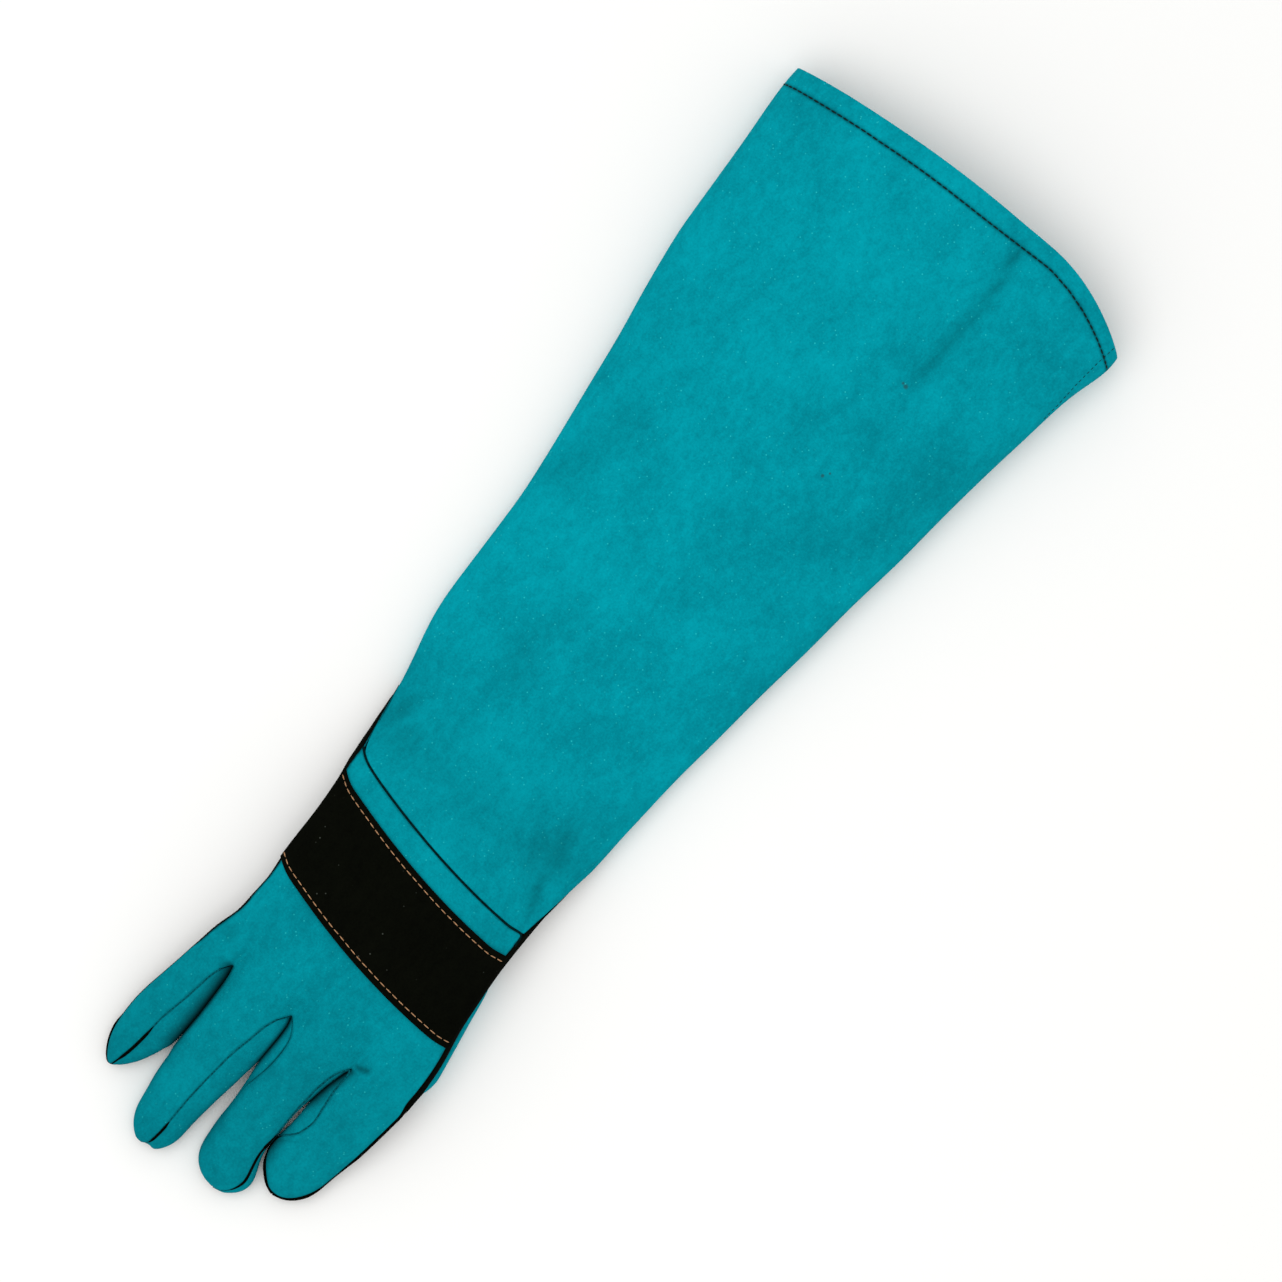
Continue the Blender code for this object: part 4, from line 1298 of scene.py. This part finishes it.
def build_band_stitches():
    """Tan stitches along both long edges of the wrist band."""
    thread = bpy.context.scene.glove_thread
    tree = surface_tree("wrist_band_suede")
    mesh = bmesh.new()
    for side in (-1, 1):
        stations, ends = plan_edge("wrist_band", side)
        starts = across_glove(stations, ends, -side * thread.band_inset, 0.0015, 0.1)
        line = drape(tree, starts, (0.0, 0.0, -1.0))
        sew(mesh, line, thread.band_stitch, thread.gap, thread.thickness)
    stitch_piece("wrist_band_stitches", mesh, material_named("tan_thread"))


def build_cuff_stitches():
    """Dark stitches of the cuff's hem, above and below, and of its side seam."""
    thread = bpy.context.scene.glove_thread
    tree = surface_tree("gauntlet_suede")
    mesh = bmesh.new()
    stations, ends = plan_edge("gauntlet", -1)
    for height, direction in ((0.2, -1.0), (-0.1, 1.0)):
        starts = across_glove(stations, ends, hem_depth(stations), 0.0005, height)
        line = drape(tree, starts, (0.0, 0.0, direction))
        sew(mesh, line, thread.hem_stitch, 0.5 * thread.gap, 1.6 * thread.thickness)
    points = np.array(CUFF_SIDE_SEAM, float) / 1000
    starts = even_line(np.column_stack([points, np.full(len(points), 0.2)]), 0.001)
    line = drape(tree, starts, (0.0, 0.0, -1.0))
    sew(mesh, line, 0.6 * thread.hem_stitch, 1.2 * thread.gap, 0.7 * thread.thickness)
    stitch_piece("cuff_stitches", mesh, material_named("dark_thread"))


# Operators


class GLOVE_OT_gauntlet(bpy.types.Operator):
    """Make the long teal cuff with its hem"""

    bl_idname = "glove.gauntlet"
    bl_label = "Gauntlet"

    def execute(self, context):
        piece = leather_piece("gauntlet")
        press_hem(piece)
        mark(piece, seam_tree())
        settle(piece)
        return {"FINISHED"}


class GLOVE_OT_hand(bpy.types.Operator):
    """Make the teal back of the hand and the strips between the fingers"""

    bl_idname = "glove.hand"
    bl_label = "Back of Hand"

    def execute(self, context):
        tree = seam_tree()
        for node in PANELS:
            if node == "hand_back" or node.startswith("fourchette"):
                piece = leather_piece(node)
                mark(piece, tree)
                settle(piece)
        return {"FINISHED"}


class GLOVE_OT_palm(bpy.types.Operator):
    """Make the black palm and the teal thumb under it"""

    bl_idname = "glove.palm"
    bl_label = "Palm and Thumb"

    def execute(self, context):
        tree = seam_tree()
        palm = leather_piece("palm")
        thumb = leather_piece("thumb")
        for piece in (palm, thumb):
            mark(piece, tree)
        settle(palm)
        return {"FINISHED"}


class GLOVE_OT_wrist_band(bpy.types.Operator):
    """Make the black band over the back of the hand"""

    bl_idname = "glove.wrist_band"
    bl_label = "Wrist Band"

    def execute(self, context):
        piece = leather_piece("wrist_band")
        press_band(piece)
        mark(piece, seam_tree())
        settle(piece)
        return {"FINISHED"}


class GLOVE_OT_seams(bpy.types.Operator):
    """Lay the turned edges into the seams, dark with painted seam shade"""

    bl_idname = "glove.seams"
    bl_label = "Seams"

    def execute(self, context):
        build_seams()
        return {"FINISHED"}


class GLOVE_OT_stitches(bpy.types.Operator):
    """Sew the band and the hem"""

    bl_idname = "glove.stitches"
    bl_label = "Stitches"

    def execute(self, context):
        build_band_stitches()
        build_cuff_stitches()
        return {"FINISHED"}


class GLOVE_OT_stage(bpy.types.Operator):
    """Make the floor, the light and the camera"""

    bl_idname = "glove.stage"
    bl_label = "Stage"

    def execute(self, context):
        stage = context.scene.glove_stage
        make_floor()
        make_light(stage)
        make_camera(stage)
        context.scene.view_settings.view_transform = "Standard"
        return {"FINISHED"}


def make_floor():
    """Large pale floor just under the glove."""
    mesh = bmesh.new()
    bmesh.ops.create_grid(mesh, x_segments=8, y_segments=8, size=FLOOR_REACH)
    bmesh.ops.translate(mesh, vec=(0.0, 0.0, -FLOOR_DROP), verts=mesh.verts[:])
    floor = link_piece("floor", mesh_data("floor", mesh))
    floor.data.materials.append(material_named("pale_floor"))


def make_light(stage):
    """Even sky and one large soft light."""
    world = bpy.data.worlds.new("studio")
    world.use_nodes = True
    sky = world.node_tree.nodes["Background"]
    sky.inputs["Color"].default_value = (1.0, 1.0, 1.0, 1.0)
    sky.inputs["Strength"].default_value = stage.sky
    bpy.context.scene.world = world
    lamp = bpy.data.lights.new("key", "AREA")
    lamp.shape = "DISK"
    lamp.size = LAMP_SIZE
    lamp.energy = stage.key
    key = bpy.data.objects.new("key", lamp)
    key.location = LAMP_PLACE
    key.rotation_euler = (-Vector(key.location)).to_track_quat("-Z", "Y").to_euler()
    bpy.context.scene.collection.objects.link(key)


def make_camera(stage):
    """Camera straight over the glove, turned as in the picture."""
    lens = bpy.data.cameras.new("camera")
    lens.sensor_width = SENSOR_WIDTH
    lens.lens = lens.sensor_width * stage.camera_height / stage.frame_width
    lens.clip_end = CLIP_END
    camera = bpy.data.objects.new("camera", lens)
    camera.location = (stage.camera_x, stage.camera_y, stage.camera_height)
    camera.rotation_euler = (0.0, 0.0, stage.camera_turn)
    bpy.context.scene.collection.objects.link(camera)
    bpy.context.scene.camera = camera


class GLOVE_PT_panel(bpy.types.Panel):
    """Lists the steps that build the glove"""

    bl_idname = "GLOVE_PT_panel"
    bl_label = "Animal Handling Glove"
    bl_space_type = "VIEW_3D"
    bl_region_type = "UI"
    bl_category = "Glove"

    def draw(self, context):
        for step in STEPS:
            self.layout.operator(step.bl_idname)
        scene = context.scene
        for settings in (scene.glove_leather, scene.glove_thread, scene.glove_stage):
            box = self.layout.box()
            for name in settings.__annotations__:
                box.prop(settings, name)


SETTINGS = (GloveLeather, GloveThread, GloveStage)
STEPS = (
    GLOVE_OT_gauntlet,
    GLOVE_OT_hand,
    GLOVE_OT_palm,
    GLOVE_OT_wrist_band,
    GLOVE_OT_seams,
    GLOVE_OT_stitches,
    GLOVE_OT_stage,
)


def register():
    """Add the settings, the steps and the panel to Blender."""
    for item in SETTINGS + STEPS + (GLOVE_PT_panel,):
        bpy.utils.register_class(item)
    bpy.types.Scene.glove_leather = PointerProperty(type=GloveLeather)
    bpy.types.Scene.glove_thread = PointerProperty(type=GloveThread)
    bpy.types.Scene.glove_stage = PointerProperty(type=GloveStage)


def unregister():
    """Take the settings, the steps and the panel out of Blender."""
    del bpy.types.Scene.glove_leather
    del bpy.types.Scene.glove_thread
    del bpy.types.Scene.glove_stage
    for item in reversed(SETTINGS + STEPS + (GLOVE_PT_panel,)):
        bpy.utils.unregister_class(item)


def corners(bounds):
    """Two corners of a box as plain lists."""
    return [list(corner) for corner in bounds]


def main():
    """Build the glove step by step."""
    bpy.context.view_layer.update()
    register()
    for step in STEPS:
        group, name = step.bl_idname.split(".")
        getattr(getattr(bpy.ops, group), name)()


if __name__ == "__main__":
    main()
